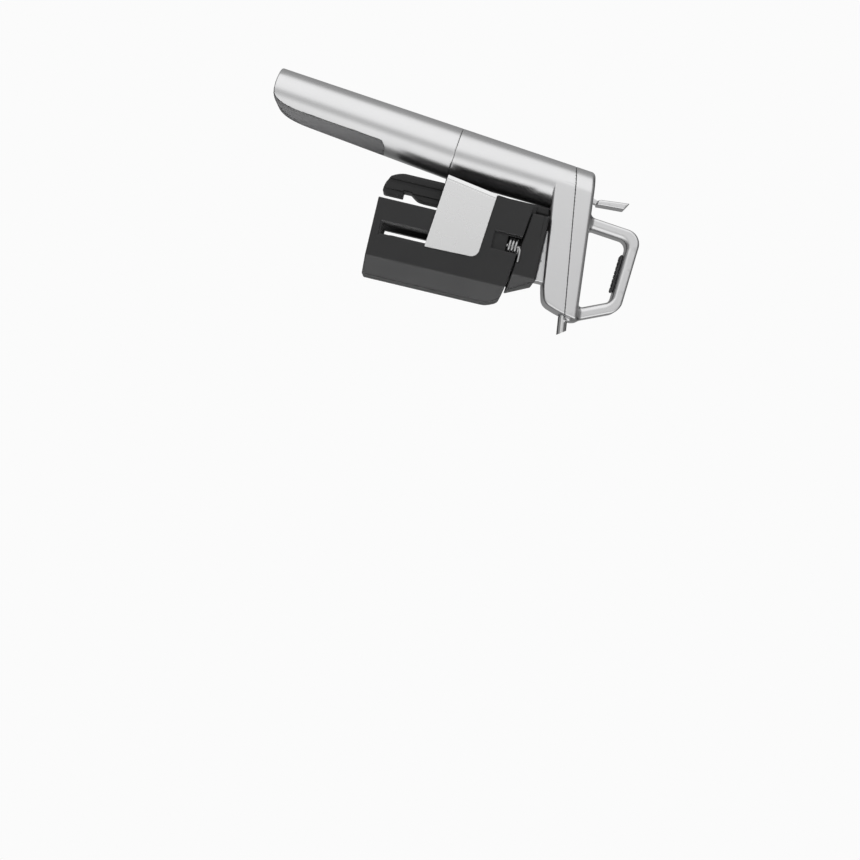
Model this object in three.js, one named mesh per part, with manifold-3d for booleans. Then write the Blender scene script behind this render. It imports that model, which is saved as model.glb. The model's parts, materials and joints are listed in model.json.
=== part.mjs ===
import * as THREE from 'three';
import Module from 'manifold-3d';
import { mergeVertices } from 'three/addons/utils/BufferGeometryUtils.js';

// Hand-worked wine pourer that clamps on the neck of a bottle, with its gas capsule in the handle.
// Millimetres. The needle lies on the Z axis, and Z = 0 is the plane of the bottle's rim.
// +Z leads away from the bottle and +X to the pour spout; the object is mirrored about Y = 0.

const wasm = await Module();
wasm.setup();

// ---------------------------------------------------------------- driving dimensions
const GAP = 0.3;                  // clearance between pieces that touch
const PIN_GAP = 0.1;              // clearance of a pin in its bore

const NECK_RADIUS = 14.5;         // bottle neck that the closed jaws hold

const RAIL_BACK = -35.6;
const RAIL_DEPTH = 12.8;          // from the rail's back to its front
const RAIL_HALF_WIDTH = 8;
const RAIL_END = -62;
const RAIL_LIP = 2.7;             // narrower lip along the rail's front
const RAIL_GROOVE = 1.8;          // side grooves that the liners run in
const RAIL_GROOVE_DEPTH = 1.5;
const RAIL_NOTCH_TOP = -41;
const RAIL_NOTCH_BOTTOM = -51;
const RAIL_SCREW = 1.2;           // radius of the screws that hold the rail under the stem
const RAIL_SCREW_HEAD = 2.1;

const TUBE_TILT = 5.2;            // lean of the gas tube from the needle axis, degrees
const TUBE_RADIUS = 13.6;
const TUBE_WALL = 2.4;
const TUBE_CLEAR = 0.6;           // between the tube's underside and the top of the rail
const CUP_JOINT = -26.9;          // height of the joint between tube and cup
const CUP_LENGTH = 107.8;
const CUP_FLOOR = 21;
const CUP_ROUND_LENGTH = 33;      // the long rounding at the cup's free end
const CUP_ROUND_WIDTH = 17;
const INLAY_THICKNESS = 1;
const INLAY_HEIGHT = 5;           // how far the grip inlay reaches up round the cup
const INLAY_START = 39;           // from the joint
const SOCKET_LENGTH = 9;          // threaded socket that the cup screws on

const CAPSULE_CLEAR = 0.6;        // room round the capsule in the cup's bore
const CAPSULE_WALL = 1.5;
const CAPSULE_NECK = 4.6;
const CAPSULE_NECK_LENGTH = 9.5;
const CAPSULE_SHOULDER = 12;
const CUSHION = 3;

// Heights along the tube, from the cup joint.
const WEB_BOTTOM = 2;             // web that carries the piercing pin
const WEB_TOP = 6;
const CHAMBER_BOTTOM = 9;
const PISTON_BOTTOM = 22;
const PISTON_TOP = 26;
const CAP_BOTTOM = 38;
const REGULATOR_TOP = 44;
const VALVE_BOTTOM = 50;

const CHAMBER_RADIUS = 8.2;
const PIERCER = 1.3;              // radius of the piercing pin
const VALVE_CHAMBER = 2.8;        // radius of the chamber round the valve spring
const GAS_LINE_RADIUS = 1.2;

const STEM_TILT = 7.2;            // slope of the stem's underside, degrees
const STEM_HEIGHT = 36.4;         // underside of the stem on the needle axis
const SEAM_TILT = 8.4;            // slope of the seam between stem and cover, degrees
const SEAM_HEIGHT = 50;
const COVER_TILT = 5.5;           // slope of the cover's top, degrees
const COVER_HEIGHT = 58.3;
const STEM_FRONT = 22;
const STEM_NOSE = 9.5;            // slanted nose between the stem's underside and its front end
const STEM_WALL = 2.4;
const COVER_WALL = 2.6;
const EDGE = 1.4;                 // bevel round the sides of stem and cover
const FOOT_FRONT = 6;             // front end of the wedge foot under the stem
const FOOT_HALF_WIDTH = 9;

const LOOP_HALF_WIDTH = 8;
const LOOP_LIMB = 6.6;
const LOOP_TOP = 84.6;
const LOOP_LEAN = 23;             // lean of the loop's front limb, degrees
const LOOP_BACK = -36.8;
const LOOP_CORNER = 9;
const GRIP_PAD = 1.8;
const GRIP_PAD_LENGTH = 20;

const NEEDLE_RADIUS = 1;
const NEEDLE_BORE = 0.5;
const NEEDLE_TIP = -56;
const SPOUT_RADIUS = 2.7;
const SPOUT_BORE = 1.8;
const SPOUT_LENGTH = 24.5;
const SPOUT_REACH = 9.7;            // length of the spout outside the stem
const SPOUT_TILT = 7.4;
const SPOUT_SLANT = 28;           // slant of the spout's open end, degrees
const MANIFOLD_HALF_WIDTH = 5;
const MANIFOLD_HEIGHT = 8;
const MANIFOLD_BACK = -16;
const CHANNEL = 1.1;              // radius of the wine channel
const SPOUT_SEAL = 1.6;
const NUT_RADIUS = 2.8;

const CARRIAGE_TOP = 32.2;
const CARRIAGE_BACK = -29;
const CARRIAGE_NOSE = 7.9;
const CARRIAGE_SLOPE = 7.7;       // how much further the carriage reaches at its foot than at its top
const CARRIAGE_HALF_WIDTH = 20;
const CHEEK_BOTTOM = -24;
const CHEEK_WALL = 3.2;
const LINER_WALL = 1;
const CORE_RADIUS = 12.4;
const EAR_THICKNESS = 4;          // hinge ear
const STOP_THICKNESS = 1.8;
const BUSH_RADIUS = 4;

const JAW_HALF_WIDTH = 22;
const JAW_BACK = -18;
const JAW_FRONT = 24.7;
const JAW_CHAMFER = 9.7;
const JAW_BOTTOM = -62.5;
const JAW_TOP_BACK = 21.7;        // top edge of the jaw at the carriage's back
const JAW_TOP_FRONT = 17;         // top edge of the jaw at its front
const JAW_PAD = 1.3;
const WING_WALL = 2.6;
const WING_BOTTOM = -28.5;
const WINDOW_WIDTH = 6.2;
const HINGE_X = -8.7;
const HINGE_Y = 16.4;
const HINGE_PIN = 1.4;
const PIN_HEAD = 2.3;
const COIL_RADIUS = 4.5;
const COIL_WIRE = 0.75;
const COIL_BOTTOM = 13.6;
const COIL_TOP = 19.4;
const PLATE_THICKNESS = 1;
const PLATE_CORNER = 4;
const PLATE_TOP = 1.2;
const PLATE_BOTTOM = -27.7;

const PIVOT_DROP = 6;             // trigger pivot below the top of the cover
const PIVOT_OFFSET = -1;          // trigger pivot from the tube's axis
const ARM_LENGTH = 7;             // from the trigger pivot to the valve spool
const TRIGGER_X = -45.9;
const TRIGGER_TOP = 75;
const TRIGGER_FOOT = 57.5;
const TRIGGER_HALF_WIDTH = 6.5;
const TRIGGER_THICKNESS = 2.2;
const TRIGGER_PIN = 1.2;
const TRIGGER_NECK = 2.6;         // half width of the trigger's neck
const SPOOL_RADIUS = 1.5;

// ---------------------------------------------------------------- finishes
const finish = (color, roughness, metalness) => new THREE.MeshStandardMaterial({ color, roughness, metalness });
const brushedMetal = () => finish(0xc9c9c7, 0.34, 1);
const plateMetal = () => finish(0xd8d8d6, 0.28, 1);
const polishedSteel = () => finish(0xe2e2e2, 0.12, 1);
const springSteel = () => finish(0xb4b4b2, 0.3, 1);
const capsuleSteel = () => finish(0xa9adb0, 0.4, 1);
const brass = () => finish(0xb98f3f, 0.35, 1);
const blackPlastic = () => finish(0x2f2f30, 0.55, 0);
const greyPlastic = () => finish(0x55565a, 0.5, 0);
const softGrip = () => finish(0x3c3c3e, 0.75, 0);
const rubber = () => finish(0x1b1b1c, 0.9, 0);

// ---------------------------------------------------------------- derived places
const RAD = Math.PI / 180;
const FAR = 300;
const stemZ = (x) => STEM_HEIGHT + x * Math.tan(STEM_TILT * RAD);
const seamZ = (x) => SEAM_HEIGHT + x * Math.tan(SEAM_TILT * RAD);
const coverZ = (x) => COVER_HEIGHT + x * Math.tan(COVER_TILT * RAD);

const RAIL_FRONT = RAIL_BACK + RAIL_DEPTH;
const BORE = TUBE_RADIUS - TUBE_WALL;
const FIT = BORE - GAP;           // radius of what slides into the tube and the cup
const CAPSULE_RADIUS = BORE - CAPSULE_CLEAR;
const JAW_INNER = NECK_RADIUS + JAW_PAD;

// The tube's axis passes over the back of the rail where the stem begins.
const railTop = stemZ(RAIL_BACK);
const tubeX = (z) => RAIL_BACK - TUBE_CLEAR - TUBE_RADIUS / Math.cos(TUBE_TILT * RAD)
  + (z - railTop) * Math.tan(TUBE_TILT * RAD);
const tubeFrame = new THREE.Group();
tubeFrame.position.set(tubeX(CUP_JOINT), 0, CUP_JOINT);
tubeFrame.rotation.y = TUBE_TILT * RAD;
tubeFrame.updateMatrix();

// The wine manifold lies along the spout.
const spoutFrame = new THREE.Group();
spoutFrame.position.set(0, 0, seamZ(STEM_FRONT) - STEM_FRONT * Math.tan(SPOUT_TILT * RAD));
spoutFrame.rotation.y = -SPOUT_TILT * RAD;
spoutFrame.updateMatrix();

// Trigger pivot, in the object's frame and along the tube.
const pivotAt = coverZ(tubeX(SEAM_HEIGHT)) - PIVOT_DROP;
const pivot = new THREE.Vector3(tubeX(pivotAt) + PIVOT_OFFSET, 0, pivotAt);
const pivotAlong = (pivotAt - CUP_JOINT) / Math.cos(TUBE_TILT * RAD);

// ---------------------------------------------------------------- shapes
function solid(geometry) {
  const bare = geometry.index ? geometry.toNonIndexed() : geometry.clone();
  bare.deleteAttribute('normal');
  bare.deleteAttribute('uv');
  const merged = mergeVertices(bare, 1e-4);
  const corners = [];
  for (let i = 0; i < merged.index.count; i += 3) {
    const [a, b, c] = [0, 1, 2].map((k) => merged.index.getX(i + k));
    if (a !== b && b !== c && c !== a) corners.push(a, b, c);
  }
  const made = new wasm.Manifold(new wasm.Mesh({
    numProp: 3,
    vertProperties: new Float32Array(merged.attributes.position.array),
    triVerts: new Uint32Array(corners),
  }));
  return made;
}

function geometryOf(piece) {
  const { vertProperties, triVerts } = piece.getMesh();
  const geometry = new THREE.BufferGeometry();
  geometry.setAttribute('position', new THREE.BufferAttribute(new Float32Array(vertProperties), 3));
  geometry.setIndex(new THREE.BufferAttribute(new Uint32Array(triVerts), 1));
  return geometry;
}

const join = (first, ...others) => others.reduce((made, piece) => made.add(piece), first);
const cut = (first, ...others) => others.reduce((made, piece) => made.subtract(piece), first);

const box = (x0, x1, y0, y1, z0, z1) => solid(new THREE.BoxGeometry(x1 - x0, y1 - y0, z1 - z0)
  .translate((x0 + x1) / 2, (y0 + y1) / 2, (z0 + z1) / 2));

// A cylinder along Z.
const rod = (radius, z0, z1, x = 0, y = 0, sides = 24) => solid(
  new THREE.CylinderGeometry(radius, radius, z1 - z0, sides).rotateX(Math.PI / 2).translate(x, y, (z0 + z1) / 2));

// A cylinder along Y.
const crossRod = (radius, y0, y1, x, z, sides = 16) => solid(
  new THREE.CylinderGeometry(radius, radius, y1 - y0, sides).translate(x, (y0 + y1) / 2, z));

// A turned piece about Z, from a closed outline of [radius, z] pairs that runs counter-clockwise.
const turned = (points, sides = 32) => solid(
  new THREE.LatheGeometry([...points, points[0]].map(([r, z]) => new THREE.Vector2(r, z)), sides)
    .rotateX(Math.PI / 2));

const ring = (inner, outer, z0, z1, sides = 32) => turned([[inner, z0], [outer, z0], [outer, z1], [inner, z1]], sides);

// An outline of [x, z, radius] corners, rounded where a radius is given.
function rounded(corners) {
  const shape = new THREE.Shape();
  const count = corners.length;
  corners.forEach(([x, z, radius = 0], i) => {
    const here = new THREE.Vector2(x, z);
    const toward = (j) => {
      const other = new THREE.Vector2(corners[j][0], corners[j][1]);
      return other.sub(here).setLength(radius).add(here);
    };
    const before = toward((i + count - 1) % count);
    const after = toward((i + 1) % count);
    if (i === 0) shape.moveTo(before.x, before.y);
    else shape.lineTo(before.x, before.y);
    if (radius > 0) shape.quadraticCurveTo(x, z, after.x, after.y);
  });
  return shape;
}

// Each side of a counter-clockwise outline moved inwards by a distance.
function inset(corners, distance) {
  const count = corners.length;
  const side = (i) => {
    const [x0, z0] = corners[i];
    const [x1, z1] = corners[(i + 1) % count];
    const length = Math.hypot(x1 - x0, z1 - z0);
    const [nx, nz] = [-(z1 - z0) / length, (x1 - x0) / length];
    return [nx, nz, nx * x0 + nz * z0 + distance];
  };
  return corners.map(([, , radius = 0], i) => {
    const [a, b, c] = side((i + count - 1) % count);
    const [d, e, f] = side(i);
    const det = a * e - b * d;
    return [(c * e - b * f) / det, (a * f - c * d) / det, Math.max(0, radius - distance / 2)];
  });
}

// An outline in the XZ plane, extruded from Y = y0 to y1, with its long edges bevelled.
function slab(corners, y0, y1, bevel = 0) {
  const geometry = new THREE.ExtrudeGeometry(rounded(corners), {
    depth: y1 - y0 - 2 * bevel,
    bevelEnabled: bevel > 0,
    bevelThickness: bevel,
    bevelSize: bevel,
    bevelOffset: -bevel,
    bevelSegments: 1,
    curveSegments: 5,
  });
  return solid(geometry.rotateX(Math.PI / 2).translate(0, y1 - bevel, 0));
}

// An outline in the XY plane, extruded from Z = z0 to z1.
const column = (shape, z0, z1) => solid(
  new THREE.ExtrudeGeometry(shape, { depth: z1 - z0, bevelEnabled: false, curveSegments: 14 }).translate(0, 0, z0));

// Everything above a plane that slopes up towards +X and crosses the needle axis at a height.
const above = (height, tilt) => solid(new THREE.BoxGeometry(FAR, FAR, FAR)
  .translate(0, 0, FAR / 2).rotateY(-tilt * RAD).translate(0, 0, height));
const below = (height, tilt) => solid(new THREE.BoxGeometry(FAR, FAR, FAR)
  .translate(0, 0, -FAR / 2).rotateY(-tilt * RAD).translate(0, 0, height));

// A round wire or tube along a path.
function wire(path, radius, steps, sides = 6) {
  const section = new THREE.Shape();
  section.absarc(0, 0, radius, 0, 2 * Math.PI);
  return new THREE.ExtrudeGeometry(section, { steps, extrudePath: path, curveSegments: sides });
}

class Helix extends THREE.Curve {
  constructor(radius, z0, z1, turns) {
    super();
    Object.assign(this, { radius, z0, z1, turns });
  }

  getPoint(t, target = new THREE.Vector3()) {
    const angle = 2 * Math.PI * this.turns * t;
    return target.set(
      this.radius * Math.cos(angle),
      this.radius * Math.sin(angle),
      this.z0 + (this.z1 - this.z0) * t,
    );
  }
}

const inTube = (piece) => solid(geometryOf(piece).applyMatrix4(tubeFrame.matrix));
const inSpout = (piece) => solid(geometryOf(piece).applyMatrix4(spoutFrame.matrix));

// ---------------------------------------------------------------- body: stem, tube and cover
// Side outline of stem and cover together, counter-clockwise from the tube's axis under the stem.
function headOutline() {
  const back = tubeX(SEAM_HEIGHT);
  return [
    [back, stemZ(back)],
    [STEM_FRONT - STEM_NOSE, stemZ(STEM_FRONT - STEM_NOSE), 2],
    [STEM_FRONT - STEM_NOSE / 2, stemZ(STEM_FRONT) + 1, 3],
    [STEM_FRONT, seamZ(STEM_FRONT)],
    [STEM_FRONT + 0.6, coverZ(STEM_FRONT), 3],
    [back, coverZ(back)],
  ];
}

function headEnvelope() {
  const prism = slab(headOutline(), -TUBE_RADIUS, TUBE_RADIUS, EDGE);
  const tube = inTube(rod(TUBE_RADIUS, 0, FAR / 2, 0, 0, 48));
  return cut(join(prism, tube), above(COVER_HEIGHT, COVER_TILT));
}

function headCavity() {
  const inner = inset(headOutline(), STEM_WALL);
  const prism = slab(inner, -BORE, BORE);
  const tube = inTube(rod(BORE, -1, FAR / 2, 0, 0, 32));
  return cut(join(prism, tube), above(COVER_HEIGHT - COVER_WALL, COVER_TILT));
}

const spoutHole = () => inSpout(rod(SPOUT_RADIUS + GAP, 0, FAR, 0, 0, 16).rotate([0, 90, 0]));

// Places of the two screws that hold the rail under the stem.
const railScrewX = (RAIL_BACK + RAIL_FRONT - RAIL_LIP) / 2;
const railScrewY = RAIL_HALF_WIDTH * 0.55;

function bodyShell() {
  const shell = cut(headEnvelope(), headCavity(), above(SEAM_HEIGHT - GAP / 2, SEAM_TILT));
  const foot = slab([
    [RAIL_FRONT + GAP, CARRIAGE_TOP + GAP],
    [FOOT_FRONT, CARRIAGE_TOP + GAP],
    [FOOT_FRONT, stemZ(FOOT_FRONT) + 1],
    [RAIL_FRONT + GAP, stemZ(RAIL_FRONT) + 1],
  ], -FOOT_HALF_WIDTH, FOOT_HALF_WIDTH);
  const screwHoles = [1, -1].map((side) => (
    rod(RAIL_SCREW + PIN_GAP, RAIL_END, SEAM_HEIGHT, railScrewX, side * railScrewY, 12)));
  return cut(join(shell, foot), rod(NUT_RADIUS + PIN_GAP, 0, SEAM_HEIGHT, 0, 0, 20), spoutHole(), ...screwHoles);
}

function loopOutline() {
  const front = STEM_FRONT + 2.9;
  const lean = (LOOP_TOP - coverZ(front) + LOOP_LIMB) * Math.tan(LOOP_LEAN * RAD);
  return [
    [LOOP_BACK, coverZ(LOOP_BACK) - LOOP_LIMB],
    [front, coverZ(front) - LOOP_LIMB],
    [front - lean, LOOP_TOP - 1.4, LOOP_CORNER],
    [LOOP_BACK + 3.4, LOOP_TOP + 1, LOOP_CORNER * 0.8],
  ];
}

// The opening inside the loop, above the cover.
const loopOpening = () => inset(loopOutline(), LOOP_LIMB);

function triggerSlot() {
  const low = pivot.z;
  return box(pivot.x - 1, TRIGGER_X + 6.5, -TRIGGER_NECK - GAP, TRIGGER_NECK + GAP, low, low + FAR / 4);
}

function topCover() {
  const plate = cut(headEnvelope(), below(SEAM_HEIGHT + GAP / 2, SEAM_TILT));
  const limb = cut(
    slab(loopOutline(), -LOOP_HALF_WIDTH, LOOP_HALF_WIDTH, 1.5),
    slab(loopOpening(), -FAR, FAR),
    below(COVER_HEIGHT - COVER_WALL, COVER_TILT),
  );
  return cut(join(plate, limb), headCavity(), triggerSlot(), spoutHole());
}

// Soft pad on the inside of the loop's top limb.
function gripPad() {
  const [, , topFront, topBack] = loopOpening();
  const middle = (topFront[0] + topBack[0]) / 2;
  const slope = (topFront[1] - topBack[1]) / (topFront[0] - topBack[0]);
  const topZ = (x) => topBack[1] + (x - topBack[0]) * slope - GAP;
  const [x0, x1] = [middle - GRIP_PAD_LENGTH / 2, middle + GRIP_PAD_LENGTH / 2];
  return slab([
    [x0 + 1, topZ(x0) - GRIP_PAD],
    [x1 - 1, topZ(x1) - GRIP_PAD],
    [x1, topZ(x1)],
    [x0, topZ(x0)],
  ], -LOOP_HALF_WIDTH + 2, LOOP_HALF_WIDTH - 2);
}

// ---------------------------------------------------------------- guide rail
function guideRail() {
  const blade = slab([
    [RAIL_BACK, RAIL_END, 5],
    [RAIL_FRONT, RAIL_END, 1.2],
    [RAIL_FRONT, RAIL_NOTCH_BOTTOM],
    [RAIL_FRONT - RAIL_LIP - 0.4, RAIL_NOTCH_BOTTOM + 1.2, 0.8],
    [RAIL_FRONT - RAIL_LIP - 0.4, (RAIL_NOTCH_TOP + RAIL_NOTCH_BOTTOM) / 2, 2],
    [RAIL_FRONT, RAIL_NOTCH_TOP + 2, 3],
    [RAIL_FRONT, stemZ(RAIL_FRONT) - GAP],
    [RAIL_BACK, stemZ(RAIL_BACK) - GAP],
  ], -RAIL_HALF_WIDTH, RAIL_HALF_WIDTH, 0.6);
  const grooves = [1, -1].map((side) => railGroove(side, 0, RAIL_GROOVE_DEPTH));
  const lips = [1, -1].map((side) => {
    const edge = side * (RAIL_HALF_WIDTH - 1);
    const outer = side * FAR;
    return box(RAIL_FRONT - RAIL_LIP, FAR, Math.min(edge, outer), Math.max(edge, outer), -FAR, FAR);
  });
  const screwHoles = [1, -1].map((side) => (
    rod(RAIL_SCREW + PIN_GAP, railTop - 12, FAR, railScrewX, side * railScrewY, 12)));
  return cut(blade, ...grooves, ...lips, ...screwHoles);
}

// A strip along one side of the rail, as deep as the groove there.
function railGroove(side, clearance, depth) {
  const middle = railScrewX;
  const [x0, x1] = [middle - RAIL_GROOVE / 2 + clearance, middle + RAIL_GROOVE / 2 - clearance];
  const edge = side * (RAIL_HALF_WIDTH - depth + clearance);
  const outer = side * (RAIL_HALF_WIDTH + GAP + LINER_WALL / 2);
  return box(x0, x1, Math.min(edge, outer), Math.max(edge, outer), -FAR, FAR);
}

function railScrew(side) {
  const floor = stemZ(railScrewX) + STEM_WALL / Math.cos(STEM_TILT * RAD);
  const x = railScrewX;
  const y = side * railScrewY;
  return join(
    rod(RAIL_SCREW, railTop - 10, floor + 1.2, x, y, 12),
    rod(RAIL_SCREW_HEAD, floor + 0.8, floor + 2, x, y, 12),
  );
}

// ---------------------------------------------------------------- gas side, along the tube
const spoolAt = PIVOT_OFFSET + ARM_LENGTH;
const valveTop = pivotAlong - 5;

function regulatorBody() {
  return turned([
    [CAPSULE_NECK + 1.6, -SOCKET_LENGTH],
    [FIT, -SOCKET_LENGTH],
    [FIT, REGULATOR_TOP],
    [CHAMBER_RADIUS, REGULATOR_TOP],
    [CHAMBER_RADIUS, CHAMBER_BOTTOM],
    [PIERCER + PIN_GAP, WEB_TOP],
    [PIERCER + PIN_GAP, WEB_BOTTOM],
    [CAPSULE_NECK + 1.6, WEB_BOTTOM],
  ]);
}

const piercingPin = () => turned([
  [0, -3], [0.4, -3], [0.9, -1.5], [PIERCER, -1], [PIERCER, WEB_TOP + 0.2], [2.2, WEB_TOP + 1.6], [0, WEB_TOP + 1.6],
], 12);

const capsuleSeal = () => ring(CAPSULE_NECK + PIN_GAP, CAPSULE_NECK + 1.4, -2.4, -0.6, 24);

const regulatorPiston = () => turned([
  [0, PISTON_BOTTOM - 8],
  [1.4, PISTON_BOTTOM - 8],
  [1.4, PISTON_BOTTOM],
  [CHAMBER_RADIUS - PIN_GAP, PISTON_BOTTOM],
  [CHAMBER_RADIUS - PIN_GAP, PISTON_TOP],
  [0, PISTON_TOP],
], 32);

const regulatorCap = () => turned([
  [1.5, CAP_BOTTOM],
  [CHAMBER_RADIUS - PIN_GAP, CAP_BOTTOM],
  [CHAMBER_RADIUS - PIN_GAP, REGULATOR_TOP - 1],
  [1.5, REGULATOR_TOP - 1],
], 32);

function springAlong(radius, wireRadius, z0, z1, turns) {
  return wire(new Helix(radius, z0 + wireRadius, z1 - wireRadius, turns), wireRadius, Math.round(turns * 10), 3);
}

function valveBody() {
  const block = rod(FIT, VALVE_BOTTOM, valveTop, 0, 0, 32);
  const ears = [1, -1].map((side) => {
    const [y0, y1] = side > 0 ? [4, 6.4] : [-6.4, -4];
    return slab([
      [PIVOT_OFFSET - 3.5, valveTop - 1],
      [PIVOT_OFFSET + 3.5, valveTop - 1],
      [PIVOT_OFFSET + 2.6, pivotAlong + 2.4, 1.5],
      [PIVOT_OFFSET - 2.6, pivotAlong + 2.4, 1.5],
    ], y0, y1);
  });
  return cut(
    join(block, ...ears),
    crossRod(TRIGGER_PIN + PIN_GAP, -FAR, FAR, PIVOT_OFFSET, pivotAlong),
    rod(SPOOL_RADIUS + PIN_GAP, 0, FAR, spoolAt, 0, 12),
    rod(VALVE_CHAMBER, 0, valveTop - 4, spoolAt, 0, 16),
  );
}

const valvePlug = () => rod(VALVE_CHAMBER - PIN_GAP, VALVE_BOTTOM + 0.2, VALVE_BOTTOM + 2.2, spoolAt, 0, 16);

// The spool hangs from its collar, and its top end stands under the trigger's arm.
const spoolCollar = valveTop - 4 - GAP;
function valveSpool() {
  return join(
    rod(SPOOL_RADIUS, spoolCollar - 5, armUnderside() - GAP, spoolAt, 0, 12),
    rod(VALVE_CHAMBER - 2 * PIN_GAP, spoolCollar - 1.5, spoolCollar, spoolAt, 0, 16),
  );
}

const armUnderside = () => pivotAlong - 2.6;
const valveSpringEnds = () => [VALVE_BOTTOM + 2.4, spoolCollar - 1.7];

function gasLine() {
  const edge = GAS_LINE_RADIUS + GAP / 2 - FIT;
  return wire(new THREE.CatmullRomCurve3([
    new THREE.Vector3(edge, 0, REGULATOR_TOP + GAP),
    new THREE.Vector3(edge, 0, REGULATOR_TOP + 2),
    new THREE.Vector3(edge + 3, 0, VALVE_BOTTOM - 2),
    new THREE.Vector3(edge + 3, 0, VALVE_BOTTOM - GAP),
  ]), GAS_LINE_RADIUS, 8, 3);
}

// ---------------------------------------------------------------- trigger

function trigger() {
  const t = TRIGGER_THICKNESS;
  const paddle = slab([
    [TRIGGER_X - t / 2 + 0.4, TRIGGER_FOOT],
    [TRIGGER_X + t / 2 + 0.8, TRIGGER_FOOT - 0.6, 0.5],
    [TRIGGER_X + t / 2, TRIGGER_TOP - 2.5],
    [TRIGGER_X - t / 2 - 1.4, TRIGGER_TOP],
    [TRIGGER_X - t / 2 - 0.8, TRIGGER_TOP - 2.5],
  ], -TRIGGER_HALF_WIDTH, TRIGGER_HALF_WIDTH);
  const neck = slab([
    [pivot.x + 0.4, pivot.z - 0.5],
    [pivot.x + 3, pivot.z - 1.5],
    [TRIGGER_X + t / 2 + 0.6, TRIGGER_FOOT - 1],
    [TRIGGER_X + t / 2 + 0.4, TRIGGER_FOOT + 2],
    [TRIGGER_X - t / 2 + 0.8, TRIGGER_FOOT + 2],
  ], -TRIGGER_NECK, TRIGGER_NECK);
  const hub = crossRod(TRIGGER_PIN + 1.4, -3.4, 3.4, pivot.x, pivot.z);
  const arm = inTube(slab([
    [PIVOT_OFFSET, pivotAlong - 2.4],
    [spoolAt - 2, armUnderside()],
    [spoolAt + 2, armUnderside()],
    [spoolAt + 2, armUnderside() + 1.8],
    [PIVOT_OFFSET, pivotAlong + 1.5],
  ], -2.4, 2.4));
  return cut(join(paddle, neck, hub, arm), crossRod(TRIGGER_PIN + PIN_GAP, -FAR, FAR, pivot.x, pivot.z));
}

const triggerPin = () => crossRod(TRIGGER_PIN, -7.2, 7.2, PIVOT_OFFSET, pivotAlong, 16);

// ---------------------------------------------------------------- capsule and cup
function gasCapsule() {
  const tip = 0.8;
  const shoulderTop = tip - CAPSULE_NECK_LENGTH;
  const shoulderEnd = shoulderTop - CAPSULE_SHOULDER;
  const base = -(CUP_LENGTH - CUP_FLOOR) + CUSHION + 2 * GAP;
  const w = CAPSULE_WALL;
  return turned([
    [0, base],
    [CAPSULE_RADIUS - 4, base],
    [CAPSULE_RADIUS, base + 4],
    [CAPSULE_RADIUS, shoulderEnd],
    [CAPSULE_RADIUS - 1.6, shoulderEnd + CAPSULE_SHOULDER * 0.45],
    [CAPSULE_NECK, shoulderTop],
    [CAPSULE_NECK, tip],
    [PIERCER + 0.2, tip],
    [PIERCER + 0.2, tip - 4.2],
    [CAPSULE_NECK - w, tip - 4.2],
    [CAPSULE_NECK - w, shoulderTop],
    [CAPSULE_RADIUS - w, shoulderEnd - 1],
    [CAPSULE_RADIUS - w, base + 4],
    [CAPSULE_RADIUS - 4, base + w],
    [0, base + w],
  ], 32);
}

// The free end seen from the side: flat on the outer side and drawn out in one long rounding on the other.
function cupSide(offset) {
  const steps = 9;
  const squareness = 3;
  const points = [];
  for (let i = 0; i <= steps; i += 1) {
    const angle = (i / steps) * (Math.PI / 2);
    const across = Math.sin(angle) ** (2 / squareness);
    const along = Math.cos(angle) ** (2 / squareness);
    points.push([
      TUBE_RADIUS - CUP_ROUND_WIDTH + across * (CUP_ROUND_WIDTH - offset),
      -(CUP_LENGTH - CUP_ROUND_LENGTH) - along * (CUP_ROUND_LENGTH - offset),
    ]);
  }
  return [
    ...points,
    [TUBE_RADIUS - offset, 1],
    [-TUBE_RADIUS + offset, 1],
    [-TUBE_RADIUS + offset, -CUP_LENGTH + offset, 1.5],
  ];
}

function cupSolid(offset) {
  const round = rod(TUBE_RADIUS - offset, -CUP_LENGTH - 1, -GAP / 2, 0, 0, 48);
  return round.intersect(slab(cupSide(offset), -FAR, FAR));
}

// Where the grip inlay lies: the underside of the cup, from INLAY_START to the free end.
function inlayRegion(clearance) {
  const edge = TUBE_RADIUS - INLAY_HEIGHT - clearance;
  const end = -CUP_LENGTH + 4 - clearance;
  return slab([
    [edge, end],
    [FAR, end],
    [FAR, -INLAY_START + clearance],
    [edge, -INLAY_START + clearance],
  ], -FAR, FAR);
}

function gasCup() {
  const blind = rod(BORE, -(CUP_LENGTH - CUP_FLOOR), FAR, 0, 0, 32);
  const recess = cut(inlayRegion(GAP), cupSolid(INLAY_THICKNESS + GAP));
  return cut(cupSolid(0), blind, recess);
}

const cupInlay = () => cut(cupSolid(0).intersect(inlayRegion(0)), cupSolid(INLAY_THICKNESS));

function capsuleCushion() {
  const floor = -(CUP_LENGTH - CUP_FLOOR) + GAP;
  return ring(3, BORE - GAP, floor, floor + CUSHION);
}

// ---------------------------------------------------------------- wine side, in the stem
const spoutZ = spoutFrame.position.z;
const manifoldFloor = stemZ(0) + STEM_WALL / Math.cos(STEM_TILT * RAD) + 0.8;

function manifold() {
  const half = MANIFOLD_HALF_WIDTH;
  const block = cut(
    inSpout(box(MANIFOLD_BACK, manifoldFront, -half, half, -MANIFOLD_HEIGHT * 2, SPOUT_RADIUS + 1.4)),
    below(manifoldFloor, STEM_TILT),
  );
  const along = (radius, x0, x1) => inSpout(rod(radius, x0, x1, 0, 0, 16).rotate([0, 90, 0]));
  return cut(
    block,
    along(CHANNEL, -1, FAR),
    along(SPOUT_RADIUS + PIN_GAP, spoutBack, FAR),
    rod(CHANNEL, manifoldFloor - 2, spoutZ, 0, 0, 12),
    rod(NEEDLE_RADIUS + PIN_GAP, manifoldFloor - 2, needleTop + 0.4, 0, 0, 12),
  );
}

const needleTop = manifoldFloor + 4;
const spoutBack = STEM_FRONT + SPOUT_REACH - SPOUT_LENGTH;
const manifoldFront = STEM_FRONT - STEM_NOSE - 1;

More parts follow.
